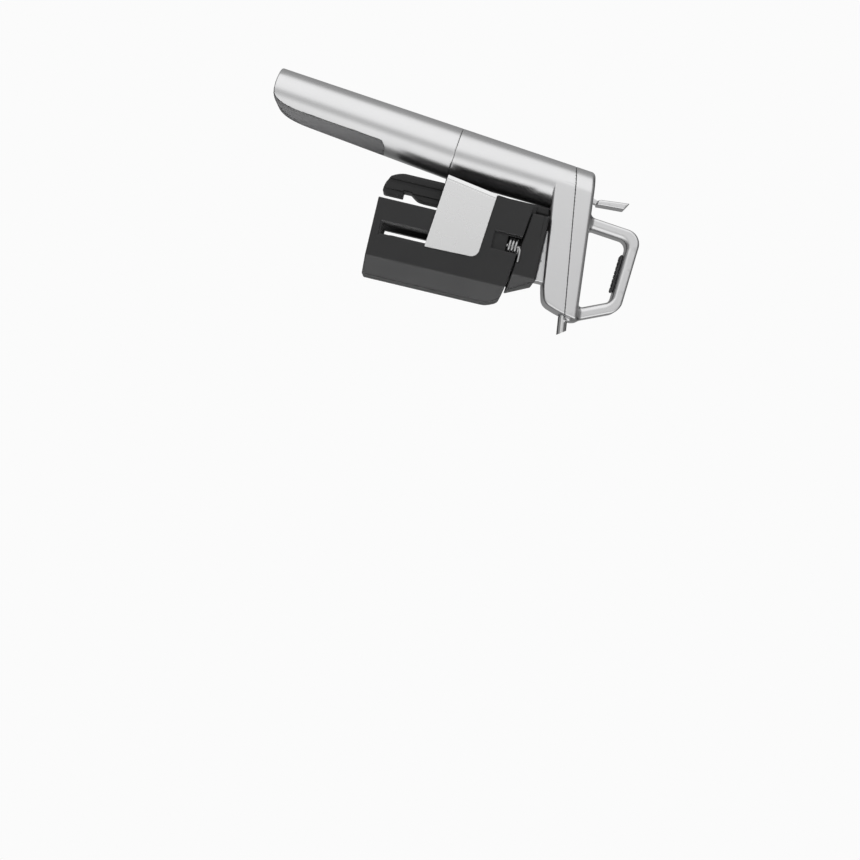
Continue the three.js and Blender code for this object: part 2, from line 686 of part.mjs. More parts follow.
// A tube whose far end is cut at a slant.
function spout() {
  const pipe = cut(
    rod(SPOUT_RADIUS, spoutBack + PIN_GAP, STEM_FRONT + SPOUT_REACH, 0, 0, 20),
    rod(SPOUT_BORE, -FAR, FAR, 0, 0, 16),
    solid(new THREE.BoxGeometry(FAR, FAR, FAR).translate(0, 0, FAR / 2).rotateY(-SPOUT_SLANT * RAD)
      .translate(0, 0, STEM_FRONT + SPOUT_REACH - CHANNEL)),
  );
  return pipe.rotate([0, 90, 0]);
}

function spoutSeal() {
  const back = manifoldFront + PIN_GAP;
  return ring(SPOUT_RADIUS + PIN_GAP, SPOUT_RADIUS + 1.4, back, back + SPOUT_SEAL, 20).rotate([0, 90, 0]);
}

function transferTube() {
  const start = tubeX(seamZ(RAIL_BACK)) + BORE;
  return wire(new THREE.CatmullRomCurve3([
    new THREE.Vector3(start, 0, seamZ(start) - 4),
    new THREE.Vector3(start + 4, 0, seamZ(start) - 3.6),
    new THREE.Vector3(MANIFOLD_BACK - 4, 0, spoutZ - 4.4),
    new THREE.Vector3(MANIFOLD_BACK - 0.8, 0, spoutZ - 4.2),
  ]), GAS_LINE_RADIUS, 8, 3);
}

// The point is closed: wine enters the bore through a port in the side.
const needle = () => cut(
  turned([
    [0, NEEDLE_TIP],
    [NEEDLE_RADIUS, NEEDLE_TIP + 3.4],
    [NEEDLE_RADIUS, needleTop],
    [NEEDLE_BORE, needleTop],
    [NEEDLE_BORE, NEEDLE_TIP + 5],
    [0, NEEDLE_TIP + 5],
  ], 12),
  box(0, NEEDLE_RADIUS * 2, -NEEDLE_BORE, NEEDLE_BORE, NEEDLE_TIP + 5.4, NEEDLE_TIP + 7.4),
);

const needleNut = () => join(
  ring(NEEDLE_RADIUS + PIN_GAP, NUT_RADIUS, CARRIAGE_TOP + 1.4, manifoldFloor - 1.4, 20),
  ring(NEEDLE_RADIUS + PIN_GAP, NUT_RADIUS - 0.8, CARRIAGE_TOP + 0.8, CARRIAGE_TOP + 1.6, 20),
);

const needleSeal = () => ring(NEEDLE_RADIUS + PIN_GAP, NUT_RADIUS - 0.6, manifoldFloor - 1.2, manifoldFloor - 0.3, 16);

// ---------------------------------------------------------------- clamp carriage
// Slanted joint between the jaws and the carriage.
const jointSlope = (JAW_TOP_FRONT - JAW_TOP_BACK) / (CARRIAGE_NOSE + CARRIAGE_SLOPE - CARRIAGE_BACK);
const jointTilt = Math.atan(jointSlope) / RAD;
const jointZ = (x) => JAW_TOP_FRONT + (x - CARRIAGE_NOSE - CARRIAGE_SLOPE) * jointSlope;
const cheekInner = RAIL_HALF_WIDTH + 2 * GAP + LINER_WALL;
const cheekOuter = cheekInner + CHEEK_WALL;
const cheekBack = RAIL_BACK + 1.2;
const bridgeFront = -NECK_RADIUS - JAW_PAD - 2.4;

// The carriage seen from above: square behind the hinges, with its front corners cut off.
function carriagePlan() {
  const half = CARRIAGE_HALF_WIDTH;
  const front = CARRIAGE_NOSE + CARRIAGE_SLOPE;
  const corner = half * 0.45;
  const plan = [
    [CARRIAGE_BACK - 4, -half],
    [front - corner, -half],
    [front, -half + corner],
    [front, half - corner],
    [front - corner, half],
    [CARRIAGE_BACK - 4, half],
  ];
  return column(rounded(plan), -FAR, FAR);
}

function hingeEar() {
  const out = HINGE_Y + HINGE_PIN + 1.3;
  const plan = [
    [bridgeFront - 2, cheekInner],
    [HINGE_X - 3.4, cheekInner + 1.2],
    [HINGE_X + 2.8, HINGE_Y - 1.1],
    [HINGE_X + 2.8, out - 1],
    [HINGE_X, out],
    [HINGE_X - 3, out],
    [bridgeFront - 2, cheekOuter + 2],
  ];
  return column(rounded(plan), CHEEK_BOTTOM, CHEEK_BOTTOM + EAR_THICKNESS);
}


function carriage() {
  const half = CARRIAGE_HALF_WIDTH;
  const block = slab([
    [CARRIAGE_BACK - 2.6, jointZ(CARRIAGE_BACK) + 0.8],
    [CARRIAGE_NOSE + CARRIAGE_SLOPE, jointZ(CARRIAGE_NOSE + CARRIAGE_SLOPE) + GAP + 0.2],
    [CARRIAGE_NOSE, CARRIAGE_TOP],
    [CARRIAGE_BACK, CARRIAGE_TOP],
    [CARRIAGE_BACK, CARRIAGE_TOP - 8],
  ], -half, half, 0.8).intersect(carriagePlan());
  const core = rod(CORE_RADIUS, STOP_THICKNESS + GAP, JAW_TOP_FRONT + 5, 0, 0, 32);
  const bridge = box(RAIL_FRONT + GAP, bridgeFront, -cheekOuter, cheekOuter, CHEEK_BOTTOM, JAW_TOP_BACK + 3);
  const sides = [1, -1].map((side) => {
    const [y0, y1] = side > 0 ? [cheekInner, cheekOuter] : [-cheekOuter, -cheekInner];
    return box(cheekBack, bridgeFront, y0, y1, CHEEK_BOTTOM, JAW_TOP_BACK + 3);
  });
  const web = box(bridgeFront - 1, 0, -7, 7, STOP_THICKNESS + GAP + 1, JAW_TOP_FRONT + 4);
  const ear = hingeEar();
  const solidCarriage = join(block, core, bridge, ...sides, web, ear, ear.mirror([0, 1, 0]));
  const channel = box(-FAR, RAIL_FRONT + GAP, -cheekInner, cheekInner, -FAR, FAR);
  const hinges = [1, -1].flatMap((side) => [
    rod(HINGE_PIN + PIN_GAP, -FAR, FAR, HINGE_X, side * HINGE_Y, 16),
    rod(PIN_HEAD + PIN_GAP, CARRIAGE_TOP - 2, FAR, HINGE_X, side * HINGE_Y, 16),
    rod(COIL_RADIUS + COIL_WIRE + GAP, 0, COIL_TOP + 0.6, HINGE_X, side * HINGE_Y, 24),
  ]);
  return cut(solidCarriage, channel, rod(BUSH_RADIUS + PIN_GAP, -FAR, FAR, 0, 0, 24), ...hinges);
}


const needleGuide = () => turned([
  [NEEDLE_RADIUS + PIN_GAP, STOP_THICKNESS + GAP],
  [BUSH_RADIUS, STOP_THICKNESS + GAP],
  [BUSH_RADIUS, CARRIAGE_TOP - 0.4],
  [NEEDLE_RADIUS + 1.4, CARRIAGE_TOP - 0.4],
  [NEEDLE_RADIUS + PIN_GAP, CARRIAGE_TOP - 2],
], 24);

const neckStop = () => ring(BUSH_RADIUS + 1.4, CORE_RADIUS, 0, STOP_THICKNESS, 32);

function railLiner() {
  const [y0, y1] = [RAIL_HALF_WIDTH + GAP, RAIL_HALF_WIDTH + GAP + LINER_WALL];
  const strip = box(cheekBack + 0.4, RAIL_FRONT - RAIL_LIP, y0, y1, CHEEK_BOTTOM + 1, JAW_TOP_BACK + 2);
  const tongue = railGroove(1, GAP, RAIL_GROOVE_DEPTH)
    .intersect(box(-FAR, FAR, 0, FAR, CHEEK_BOTTOM + 1, JAW_TOP_BACK + 2));
  return join(strip, tongue);
}

const hingePin = () => join(
  rod(HINGE_PIN, CHEEK_BOTTOM - 0.6, CARRIAGE_TOP - 1, 0, 0, 16),
  rod(PIN_HEAD, CARRIAGE_TOP - 1.8, CARRIAGE_TOP - 0.4, 0, 0, 16),
);

// Torsion spring round the hinge pin, with its long leg along the outside of the carriage.
function jawSpring() {
  const turns = 3.25;
  const path = new THREE.CurvePath();
  const coil = new Helix(COIL_RADIUS, COIL_BOTTOM, COIL_TOP, turns);
  const points = coil.getPoints(36);
  const end = points[points.length - 1];
  points.push(
    new THREE.Vector3(end.x + 1.6, end.y + 0.3, end.z + 0.9),
    new THREE.Vector3(end.x + 4, end.y + 0.4, end.z + 1.1),
    new THREE.Vector3(end.x + 7.2, end.y + 0.4, end.z + 1.1),
    new THREE.Vector3(end.x + 7.9, end.y + 0.4, end.z + 0.9),
    new THREE.Vector3(end.x + 7.9, end.y + 0.4, end.z + 0.4),
  );
  path.add(new THREE.CatmullRomCurve3(points, false, 'centripetal'));
  return wire(path, COIL_WIRE, 44, 3);
}

// ---------------------------------------------------------------- jaws, drawn for the +Y side
function jawPlan() {
  const shape = new THREE.Shape();
  const split = 0.5;
  const radius = JAW_INNER;
  const start = 118 * RAD;
  shape.moveTo(JAW_FRONT, split);
  shape.lineTo(JAW_FRONT, JAW_HALF_WIDTH - JAW_CHAMFER);
  shape.lineTo(JAW_FRONT - JAW_CHAMFER, JAW_HALF_WIDTH);
  shape.lineTo(JAW_BACK, JAW_HALF_WIDTH);
  shape.lineTo(JAW_BACK, cheekOuter + 4.4);
  shape.lineTo(HINGE_X - 4.6, cheekOuter + 3.4);
  shape.lineTo(HINGE_X - 2.9, HINGE_Y - 2.2);
  shape.absarc(0, 0, radius, start, Math.asin(split / radius), true);
  return shape;
}

function jaw() {
  const outer = JAW_HALF_WIDTH;
  const front = JAW_FRONT + 1;
  const side = slab([
    [-FAR, -FAR],
    [front, -FAR],
    [front, JAW_TOP_FRONT - 13],
    [JAW_FRONT - 0.5, JAW_TOP_FRONT - 6.5],
    [JAW_FRONT - 3.6, JAW_TOP_FRONT - 1.4],
    [CARRIAGE_NOSE + CARRIAGE_SLOPE, JAW_TOP_FRONT],
    [-FAR, jointZ(-FAR)],
  ], 0, FAR);
  const shell = column(jawPlan(), JAW_BOTTOM, JAW_TOP_BACK);
  const wing = slab([
    [plateBackX(WING_BOTTOM) + PLATE_THICKNESS + GAP, WING_BOTTOM],
    [JAW_BACK + 4, WING_BOTTOM],
    [JAW_BACK + 4, JAW_TOP_BACK + 3],
    [CARRIAGE_BACK - 3.3, JAW_TOP_BACK + 3],
    [plateBackX(PLATE_TOP), PLATE_TOP + 0.4],
    [plateBackX(PLATE_TOP) + PLATE_THICKNESS + GAP, PLATE_TOP + 0.4],
  ], outer - WING_WALL, outer);
  const pin = rod(HINGE_PIN + PIN_GAP, CHEEK_BOTTOM, FAR, HINGE_X, HINGE_Y, 16);
  const coil = rod(COIL_RADIUS + COIL_WIRE + GAP, COIL_BOTTOM - COIL_WIRE - GAP, FAR, HINGE_X, HINGE_Y, 24);
  const pocket = box(HINGE_X - 6, HINGE_X + 4, outer - 3, outer + 1, COIL_BOTTOM - 9, FAR);
  const earSlot = box(JAW_BACK - 4, HINGE_X + 5, 0, outer - 1.6, CHEEK_BOTTOM - 1, CHEEK_BOTTOM + EAR_THICKNESS + 0.6);
  const window = box(HINGE_X + 4, HINGE_X + 4 + WINDOW_WIDTH, 0, FAR, JAW_BOTTOM + 5.5, CHEEK_BOTTOM - 4);
  return cut(join(shell, wing).intersect(side), pin, coil, pocket, earSlot, window);
}

function jawPad() {
  const shape = new THREE.Shape();
  const outer = JAW_INNER - GAP;
  const [start, end] = [12 * RAD, 100 * RAD];
  shape.absarc(0, 0, outer, start, end, false);
  shape.absarc(0, 0, NECK_RADIUS, end, start, true);
  return cut(
    column(shape, JAW_BOTTOM + 3, CHEEK_BOTTOM - 2.5),
    box(HINGE_X + 3.6, HINGE_X + 4.4 + WINDOW_WIDTH, 0, FAR, JAW_BOTTOM + 5, CHEEK_BOTTOM + 4),
  );
}

// ---------------------------------------------------------------- side plates
const plateBackX = (z) => -34 + (z - PLATE_TOP) * 0.156;

function sidePlate() {
  const outside = JAW_HALF_WIDTH + GAP + PLATE_THICKNESS;
  const front = 3.2;
  const face = slab([
    [plateBackX(PLATE_BOTTOM), PLATE_BOTTOM],
    [front, PLATE_BOTTOM - 3.9, 0.8],
    [front - 0.7, PLATE_TOP - 3, PLATE_CORNER],
    [plateBackX(PLATE_TOP), PLATE_TOP],
  ], outside - PLATE_THICKNESS, outside);
  const flange = slab([
    [plateBackX(PLATE_BOTTOM), PLATE_BOTTOM],
    [plateBackX(PLATE_BOTTOM) + PLATE_THICKNESS, PLATE_BOTTOM],
    [plateBackX(PLATE_TOP) + PLATE_THICKNESS, PLATE_TOP],
    [plateBackX(PLATE_TOP), PLATE_TOP],
  ], outside - PLATE_THICKNESS - WING_WALL, outside - PLATE_THICKNESS / 2);
  return join(face, flange);
}

// ---------------------------------------------------------------- assembly
function part(name, shape, look) {
  const geometry = shape instanceof THREE.BufferGeometry ? shape : geometryOf(shape);
  const made = new THREE.Mesh(geometry, look);
  made.name = name;
  return made;
}

const pourer = new THREE.Group();

pourer.add(
  part('body_shell', bodyShell(), brushedMetal()),
  part('top_cover', topCover(), brushedMetal()),
  part('loop_grip_pad', gripPad(), softGrip()),
  part('guide_rail', guideRail(), blackPlastic()),
  part('rail_screw_left', railScrew(1), springSteel()),
  part('rail_screw_right', railScrew(-1), springSteel()),
  part('trigger', trigger(), brushedMetal()),
  part('wine_manifold', manifold(), blackPlastic()),
  part('gas_transfer_tube', transferTube(), brass()),
  part('needle', needle(), polishedSteel()),
  part('needle_nut', needleNut(), brass()),
  part('needle_seal', needleSeal(), rubber()),
);

tubeFrame.add(
  part('regulator_body', regulatorBody(), brass()),
  part('piercing_pin', piercingPin(), polishedSteel()),
  part('capsule_seal', capsuleSeal(), rubber()),
  part('regulator_piston', regulatorPiston(), brass()),
  part('regulator_spring', springAlong(5.6, 0.8, PISTON_TOP + 0.2, CAP_BOTTOM - 0.2, 5), springSteel()),
  part('regulator_cap', regulatorCap(), brass()),
  part('gas_line', gasLine(), brass()),
  part('valve_body', valveBody(), blackPlastic()),
  part('valve_plug', valvePlug(), brass()),
  part('valve_spool', valveSpool(), polishedSteel()),
  part('trigger_pin', triggerPin(), springSteel()),
  part('gas_capsule', gasCapsule(), capsuleSteel()),
  part('gas_cup', gasCup(), brushedMetal()),
  part('cup_grip_inlay', cupInlay(), softGrip()),
  part('capsule_cushion', capsuleCushion(), rubber()),
);
const [valveSpringBottom, valveSpringTop] = valveSpringEnds();
const valveSpring = part(
  'valve_spring',
  springAlong(2, 0.35, valveSpringBottom, valveSpringTop, 4),
  springSteel(),
);
valveSpring.position.x = spoolAt;
tubeFrame.add(valveSpring);

spoutFrame.add(
  part('spout', spout(), polishedSteel()),
  part('spout_seal', spoutSeal(), rubber()),
);
pourer.add(tubeFrame, spoutFrame);

pourer.add(
  part('clamp_carriage', carriage(), blackPlastic()),
  part('needle_guide', needleGuide(), greyPlastic()),
  part('neck_stop', neckStop(), rubber()),
);

// The pieces of one side of the clamp, drawn at +Y and mirrored for the other side.
for (const side of ['left', 'right']) {
  const half = new THREE.Group();
  half.scale.y = side === 'left' ? 1 : -1;
  half.add(
    part(`rail_liner_${side}`, railLiner(), greyPlastic()),
    part(`jaw_${side}`, jaw(), blackPlastic()),
    part(`jaw_pad_${side}`, jawPad(), rubber()),
    part(`side_plate_${side}`, sidePlate(), plateMetal()),
  );
  const hinge = new THREE.Group();
  hinge.position.set(HINGE_X, HINGE_Y, 0);
  hinge.add(
    part(`hinge_pin_${side}`, hingePin(), springSteel()),
    part(`jaw_spring_${side}`, jawSpring(), springSteel()),
  );
  half.add(hinge);
  pourer.add(half);
}

export default pourer;
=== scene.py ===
import json
import math

import bmesh
import bpy
import numpy as np
from mathutils import Matrix, Vector

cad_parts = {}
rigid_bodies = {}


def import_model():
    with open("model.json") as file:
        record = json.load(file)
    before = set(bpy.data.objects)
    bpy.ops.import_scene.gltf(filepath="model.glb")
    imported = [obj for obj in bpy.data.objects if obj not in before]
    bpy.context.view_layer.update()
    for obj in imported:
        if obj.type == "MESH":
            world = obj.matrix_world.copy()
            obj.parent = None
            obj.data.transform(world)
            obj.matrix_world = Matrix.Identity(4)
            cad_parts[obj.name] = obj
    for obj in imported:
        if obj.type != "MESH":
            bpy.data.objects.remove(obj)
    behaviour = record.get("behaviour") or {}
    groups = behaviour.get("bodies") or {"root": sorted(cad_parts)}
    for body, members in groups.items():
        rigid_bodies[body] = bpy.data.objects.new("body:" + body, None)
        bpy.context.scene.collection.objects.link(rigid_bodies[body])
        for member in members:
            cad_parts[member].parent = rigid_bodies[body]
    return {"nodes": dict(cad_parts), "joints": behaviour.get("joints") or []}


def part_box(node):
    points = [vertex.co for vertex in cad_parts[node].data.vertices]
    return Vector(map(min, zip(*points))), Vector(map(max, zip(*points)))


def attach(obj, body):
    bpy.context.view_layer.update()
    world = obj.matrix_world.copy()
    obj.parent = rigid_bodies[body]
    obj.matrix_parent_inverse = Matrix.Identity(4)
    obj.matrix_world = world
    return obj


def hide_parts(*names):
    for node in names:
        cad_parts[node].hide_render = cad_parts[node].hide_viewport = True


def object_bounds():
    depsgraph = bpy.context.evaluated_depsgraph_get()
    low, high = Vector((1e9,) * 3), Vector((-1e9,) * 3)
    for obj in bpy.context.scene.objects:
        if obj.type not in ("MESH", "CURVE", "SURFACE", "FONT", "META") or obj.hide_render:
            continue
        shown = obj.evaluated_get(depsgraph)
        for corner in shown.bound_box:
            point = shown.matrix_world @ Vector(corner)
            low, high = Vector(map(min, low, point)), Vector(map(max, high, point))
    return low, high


# Hand-worked wine pourer that clamps on a bottle's neck, with its gas capsule in the handle.
# Blender's objects are in metres; the shape functions below work in millimetres.
# The needle lies on the Z axis, +X leads to the pour spout, and the object is mirrored about Y = 0.

bl_info = {
    "name": "Wine pourer",
    "version": (1, 0, 0),
    "blender": (4, 5, 0),
    "location": "3D View > Sidebar > Pourer",
    "description": "Builds the finished surfaces of a clamp-on wine pourer",
    "category": "Add Mesh",
}

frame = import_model()
CAD_BOX = [list(corner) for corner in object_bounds()]

MM = 0.001
JOINTS = {joint["name"]: joint for joint in frame["joints"]}
SIDES = (("left", 1), ("right", -1))
FAR = 300.0


def box_mm(node):
    low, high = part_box(node)
    return np.array(low) / MM, np.array(high) / MM


# ---------------------------------------------------------------- places, taken from the frame
TUBE_FOOT = np.array(JOINTS["cup_turn"]["pos_m"]) / MM
TUBE_UP = -np.array(JOINTS["cup_turn"]["axis"])
TUBE_SIDE = np.array([TUBE_UP[2], 0.0, -TUBE_UP[0]])
TUBE_TILT = math.atan2(TUBE_UP[0], TUBE_UP[2])
HINGE_X, HINGE_Y, _ = np.array(JOINTS["left_jaw_hinge"]["pos_m"]) / MM
PIVOT_X, _, PIVOT_Z = np.array(JOINTS["trigger_pull"]["pos_m"]) / MM
TUBE_RADIUS = box_mm("body_shell")[1][1]
RAIL_LOW, RAIL_HIGH = box_mm("guide_rail")
JAW_LOW, JAW_HIGH = box_mm("jaw_left")
CARRIAGE_LOW, CARRIAGE_HIGH = box_mm("clamp_carriage")
PLATE_OUT = box_mm("side_plate_left")[1][1]
PAD_LOW, PAD_HIGH = box_mm("jaw_pad_left")

# ---------------------------------------------------------------- sizes that the frame's boxes don't give
GAP = 0.3
FINE_EDGE = 0.3
SOFT_EDGE = 0.5
BLOCK_EDGE = 0.6
SEAM_EDGE = 0.35
TUBE_WALL = 2.4
TUBE_SWELL = 1.3
CUP_TAPER = 1.8
TUBE_SWELL_LENGTH = 56.0
CUP_LENGTH = 107.8
CUP_FLOOR = 21.0
CUP_ROUND_LENGTH = 33.0
CUP_ROUND_WIDTH = 17.0
CUP_SQUARENESS = 3.0
INLAY_EDGE = 8.1
INLAY_DROP = 10.3
INLAY_START = 38.5
INLAY_SWEEP = 85.0
INLAY_THICKNESS = 1.0
STEM_HEIGHT, STEM_SLOPE = 36.4, 7.2
SEAM_HEIGHT, SEAM_SLOPE = 50.0, 8.4
COVER_HEIGHT, COVER_SLOPE = 58.3, 5.5
COVER_WALL = 2.6
STEM_FRONT = 22.0
STEM_NOSE = 9.5
STEM_BULGE = 0.6
NOSE_EDGE = 2.4
STEM_EDGE = 1.7
COVER_EDGE = 2.2
FOOT_FRONT = 6.0
FOOT_HALF_WIDTH = 9.0
NEEDLE_HOLE = 2.9
LOOP_HALF_WIDTH = 8.0
LOOP_LIMB = 6.6
LOOP_TOP = 84.6
LOOP_BACK = -36.8
LOOP_LEAN = 23.0
LOOP_OVERHANG = 2.9
LOOP_EDGE = 1.3
LOOP_OUTER_CORNERS = (0, 0, 4.8, 8.0)
LOOP_INNER_CORNERS = (0, 0, 2.4, 4.6)
CHIN_CUT = 31.2
CHIN_LENGTH = 5.0
PAD_THICKNESS = 1.8
PAD_HALF_LENGTH = 10.8
PAD_HALF_WIDTH = 5.2
TRIGGER_SLOT = 2.9
TRIGGER_PIN_HOLE = 1.3
HUB_RADIUS = 2.6
PADDLE_HALF_WIDTH = 6.5
RIDGE_PITCH = 2.2
SPOUT_RADIUS = 2.7
SPOUT_BORE = 1.9
SPOUT_SLOPE = 7.4
SPOUT_END = 31.7
SPOUT_LENGTH = 24.5
SPOUT_SLANT = 28.0
SPOUT_HOLE_START = 8.0
RAIL_HALF_WIDTH = 8.0
RAIL_CUT = 5.6
NOTCH_LOW, NOTCH_HIGH = -50.3, -39.0
NOTCH_CURVE, NOTCH_CURVE_LENGTH = -46.1, 6.7
NOTCH_DEPTH = 3.2
SCREW_X, SCREW_Y = RAIL_HIGH[0] - 7.75, 4.4
SCREW_RADIUS = 1.3
SCREW_LENGTH = 12.0
JOINT_FRONT, JOINT_BACK = (15.6, 17.0), (-29.0, 21.7)
JOINT_RISE = (JOINT_FRONT[1] - JOINT_BACK[1]) / (JOINT_FRONT[0] - JOINT_BACK[0])
NECK_RADIUS = 14.5
NECK_RIB_DEPTH, NECK_RIB_PITCH = 0.35, 2.4
NECK_PAD_ANGLES = (12, 100)
JAW_INNER = 15.8
JAW_BACK = -18.0
JAW_CHAMFER = 9.7
JAW_EDGE = 0.7
WING_STEP = 1.6
WING_THICKNESS = 2.6
PLATE_THICKNESS = 1.0
PLATE_BACK, PLATE_TOP = -34.0, 1.2
PLATE_LEAN = 0.156
CARRIAGE_HALF_WIDTH = 20.0
CARRIAGE_CUT = 9.0
CORE_RADIUS = 12.4
GUIDE_HOLE = 4.1
CHEEK_INNER = 9.6
CHEEK_OUTER = 12.8
CHEEK_FRONT, CHEEK_TOP = -18.2, 24.7
EAR_BOTTOM, EAR_TOP = -24.0, -20.0
PIN_RADIUS = 1.4
PIN_HOLE = PIN_RADIUS + 0.1
PIN_HEAD_HOLE = 2.4
COIL_RADIUS = 4.5
COIL_WIRE = 0.75
COIL_ROOM = COIL_RADIUS + COIL_WIRE + GAP
COIL_TURNS = 3.25
COIL_LOW, COIL_HIGH = 13.6, 19.4
COIL_POINTS = 79
CREASE = 32

# ---------------------------------------------------------------- stage
VIEW_TURN = math.radians(13.4)
VIEW_RIGHT = Vector((-math.sin(VIEW_TURN), 0, math.cos(VIEW_TURN)))
VIEW_UP = Vector((-math.cos(VIEW_TURN), 0, -math.sin(VIEW_TURN)))
VIEW_NEAR = Vector((0, -1, 0))
VIEW_WIDTH = 0.486
VIEW_DISTANCE = 0.98
VIEW_CENTRE = Vector((0.101, 0, -0.005))
SENSOR = 36
FLOOR_HALF_SIZE = 4.0
PALE = (0.965, 0.965, 0.965, 1)

# Levels of light by angle in degrees, from the camera's side up over the object to its back.
GLOSSY_LEVELS = ((-180, 0.3), (-125, 0.16), (-96, 0.2), (-74, 1.05), (-28, 1.08), (-12, 0.52), (0, 0.52), (15, 1.08),
                 (76, 1.1), (100, 0.36), (180, 0.25))
DIFFUSE_LEVELS = ((-180, 0.4), (-112, 0.5), (-100, 15.0), (-62, 15.0), (-48, 0.35), (60, 0.35), (100, 0.6),
                  (180, 0.4))


def slope(degrees):
    return math.tan(math.radians(degrees))


def stem_z(x):
    return STEM_HEIGHT + x * slope(STEM_SLOPE)


def seam_z(x):
    return SEAM_HEIGHT + x * slope(SEAM_SLOPE)


def cover_z(x):
    return COVER_HEIGHT + x * slope(COVER_SLOPE)


# ---------------------------------------------------------------- solids as distance functions
def both(a, b, radius=0.0):
    """What two solids share, with the edge between them rounded."""
    if np.isscalar(radius) and radius <= 0:
        return np.maximum(a, b)
    return np.minimum(np.maximum(a, b), -radius) + np.hypot(np.maximum(a + radius, 0), np.maximum(b + radius, 0))


def either(a, b, radius=0.0):
    """Two solids joined, with a fillet between them."""
    if radius <= 0:
        return np.minimum(a, b)
    return np.maximum(np.minimum(a, b), radius) - np.hypot(np.maximum(radius - a, 0), np.maximum(radius - b, 0))


def without(a, b, radius=0.0):
    return both(a, -b, radius)


def span(value, low, high):
    """Distance outside the stretch from low to high."""
    return np.maximum(low - value, value - high)


def outline(u, v, corners, radius=0.0, skip=(), inset=0.0):
    """A convex outline with counter-clockwise corners; the sides numbered in skip are left open.

    A tuple of radii has one for each corner, the corner that starts each side.
    """
    made = None
    for i, (u0, v0) in enumerate(corners):
        if i in skip:
            continue
        u1, v1 = corners[(i + 1) % len(corners)]
        length = math.hypot(u1 - u0, v1 - v0)
        side = ((v1 - v0) * (u - u0) - (u1 - u0) * (v - v0)) / length + inset
        rounding = radius[i] if isinstance(radius, tuple) else radius
        made = side if made is None else both(made, side, rounding)
    return made


def above(x, z, height, degrees):
    """Height over a plane that slopes up towards +X."""
    angle = math.radians(degrees)
    return (z - height) * math.cos(angle) - x * math.sin(angle)


def block(x, y, z, low, high, radius=0.0):
    made = both(span(x, low[0], high[0]), span(y, low[1], high[1]), radius)
    return both(made, span(z, low[2], high[2]), radius)


def rod(x, y, radius, cx=0.0, cy=0.0):
    return np.hypot(x - cx, y - cy) - radius


# ---------------------------------------------------------------- meshes from distance functions
def crossings(field, value, axes, axis, step):
    """Where the surface crosses the grid lines along one axis: cell corner, place and if it leaves the solid."""
    inside = value < 0
    first = [slice(None)] * 3
    second = [slice(None)] * 3
    first[axis] = slice(0, -1)
    second[axis] = slice(1, None)
    a, b = inside[tuple(first)], inside[tuple(second)]
    corner = np.argwhere(a != b)
    for other in range(3):
        if other != axis:
            limit = inside.shape[other] - 1
            corner = corner[(corner[:, other] > 0) & (corner[:, other] < limit)]
    low = np.stack([axes[k][corner[:, k]] for k in range(3)], 1)
    unit = np.zeros(3)
    unit[axis] = step
    outer = corner.copy()
    outer[:, axis] += 1
    t0, t1 = np.zeros(len(low)), np.ones(len(low))
    f0, f1 = value[tuple(corner.T)].astype(float), value[tuple(outer.T)].astype(float)
    for _ in range(5):
        middle = np.clip(t0 - f0 * (t1 - t0) / (f1 - f0), t0 + 0.02 * (t1 - t0), t1 - 0.02 * (t1 - t0))
        f = field(*(low + middle[:, None] * unit).T)
        same = (f < 0) == (f0 < 0)
        t0, f0 = np.where(same, middle, t0), np.where(same, f, f0)
        t1, f1 = np.where(same, t1, middle), np.where(same, f1, f)
    place = low + (t0 - f0 * (t1 - t0) / (f1 - f0))[:, None] * unit
    return corner, place, a[tuple(corner.T)]


def normals_at(field, place):
    reach = 0.01
    parts = []
    for k in range(3):
        shift = np.zeros(3)
        shift[k] = reach
        parts.append(field(*(place + shift).T) - field(*(place - shift).T))
    normal = np.stack(parts, 1)
    return normal / np.maximum(np.linalg.norm(normal, axis=1), 1e-12)[:, None]


def contour(field, low, high, step):
    """Points and four-sided faces of the solid where field is below zero, with its edges kept sharp."""
    low = np.array(low, float) - 2.03 * step
    counts = np.ceil((np.array(high, float) + 2 * step - low) / step).astype(int) + 1
    axes = [low[k] + step * np.arange(counts[k]) for k in range(3)]
    value = field(axes[0][:, None, None], axes[1][None, :, None], axes[2][None, None, :])
    value = np.ascontiguousarray(np.broadcast_to(value, counts))
    shape = counts - 1
    cells = int(np.prod(shape))
    sums = np.zeros((cells, 9))
    total = np.zeros((cells, 4))
    found = []
    for axis in range(3):
        corner, place, leaving = crossings(field, value, axes, axis, step)
        normal = normals_at(field, place)
        level = (normal * place).sum(1)
        n0, n1, n2 = normal.T
        rows = [n0 * n0, n0 * n1, n0 * n2, n1 * n1, n1 * n2, n2 * n2, n0 * level, n1 * level, n2 * level]
        p, q = [k for k in range(3) if k != axis]
        ring = []
        for dp, dq in ((1, 1), (0, 1), (0, 0), (1, 0)):
            cell = corner.copy()
            cell[:, p] -= dp
            cell[:, q] -= dq
            ring.append(np.ravel_multi_index(tuple(cell.T), shape))
        for index in ring:
            for k, row in enumerate(rows):
                sums[:, k] += np.bincount(index, row, cells)
            for k in range(3):
                total[:, k] += np.bincount(index, place[:, k], cells)
            total[:, 3] += np.bincount(index, minlength=cells)
        quad = np.stack(ring, 1)
        forward = leaving if axis != 1 else ~leaving
        found.append(np.where(forward[:, None], quad, quad[:, ::-1]))
    used = np.flatnonzero(total[:, 3])
    middle = total[used, :3] / total[used, 3:]
    a = sums[used]
    square = a[:, [0, 1, 2, 1, 3, 4, 2, 4, 5]].reshape(-1, 3, 3)
    pull = a[:, 6:] - np.einsum("nij,nj->ni", square, middle)
    damped = square + np.eye(3) * 0.03
    shift = np.linalg.solve(damped, pull[:, :, None])[:, :, 0]
    point = middle + shift
    cell_low = low + np.stack(np.unravel_index(used, shape), 1) * step
    point = np.clip(point, cell_low - 0.05 * step, cell_low + 1.05 * step)
    lookup = np.full(cells, -1)
    lookup[used] = np.arange(len(used))
    return point, lookup[np.concatenate(found)]


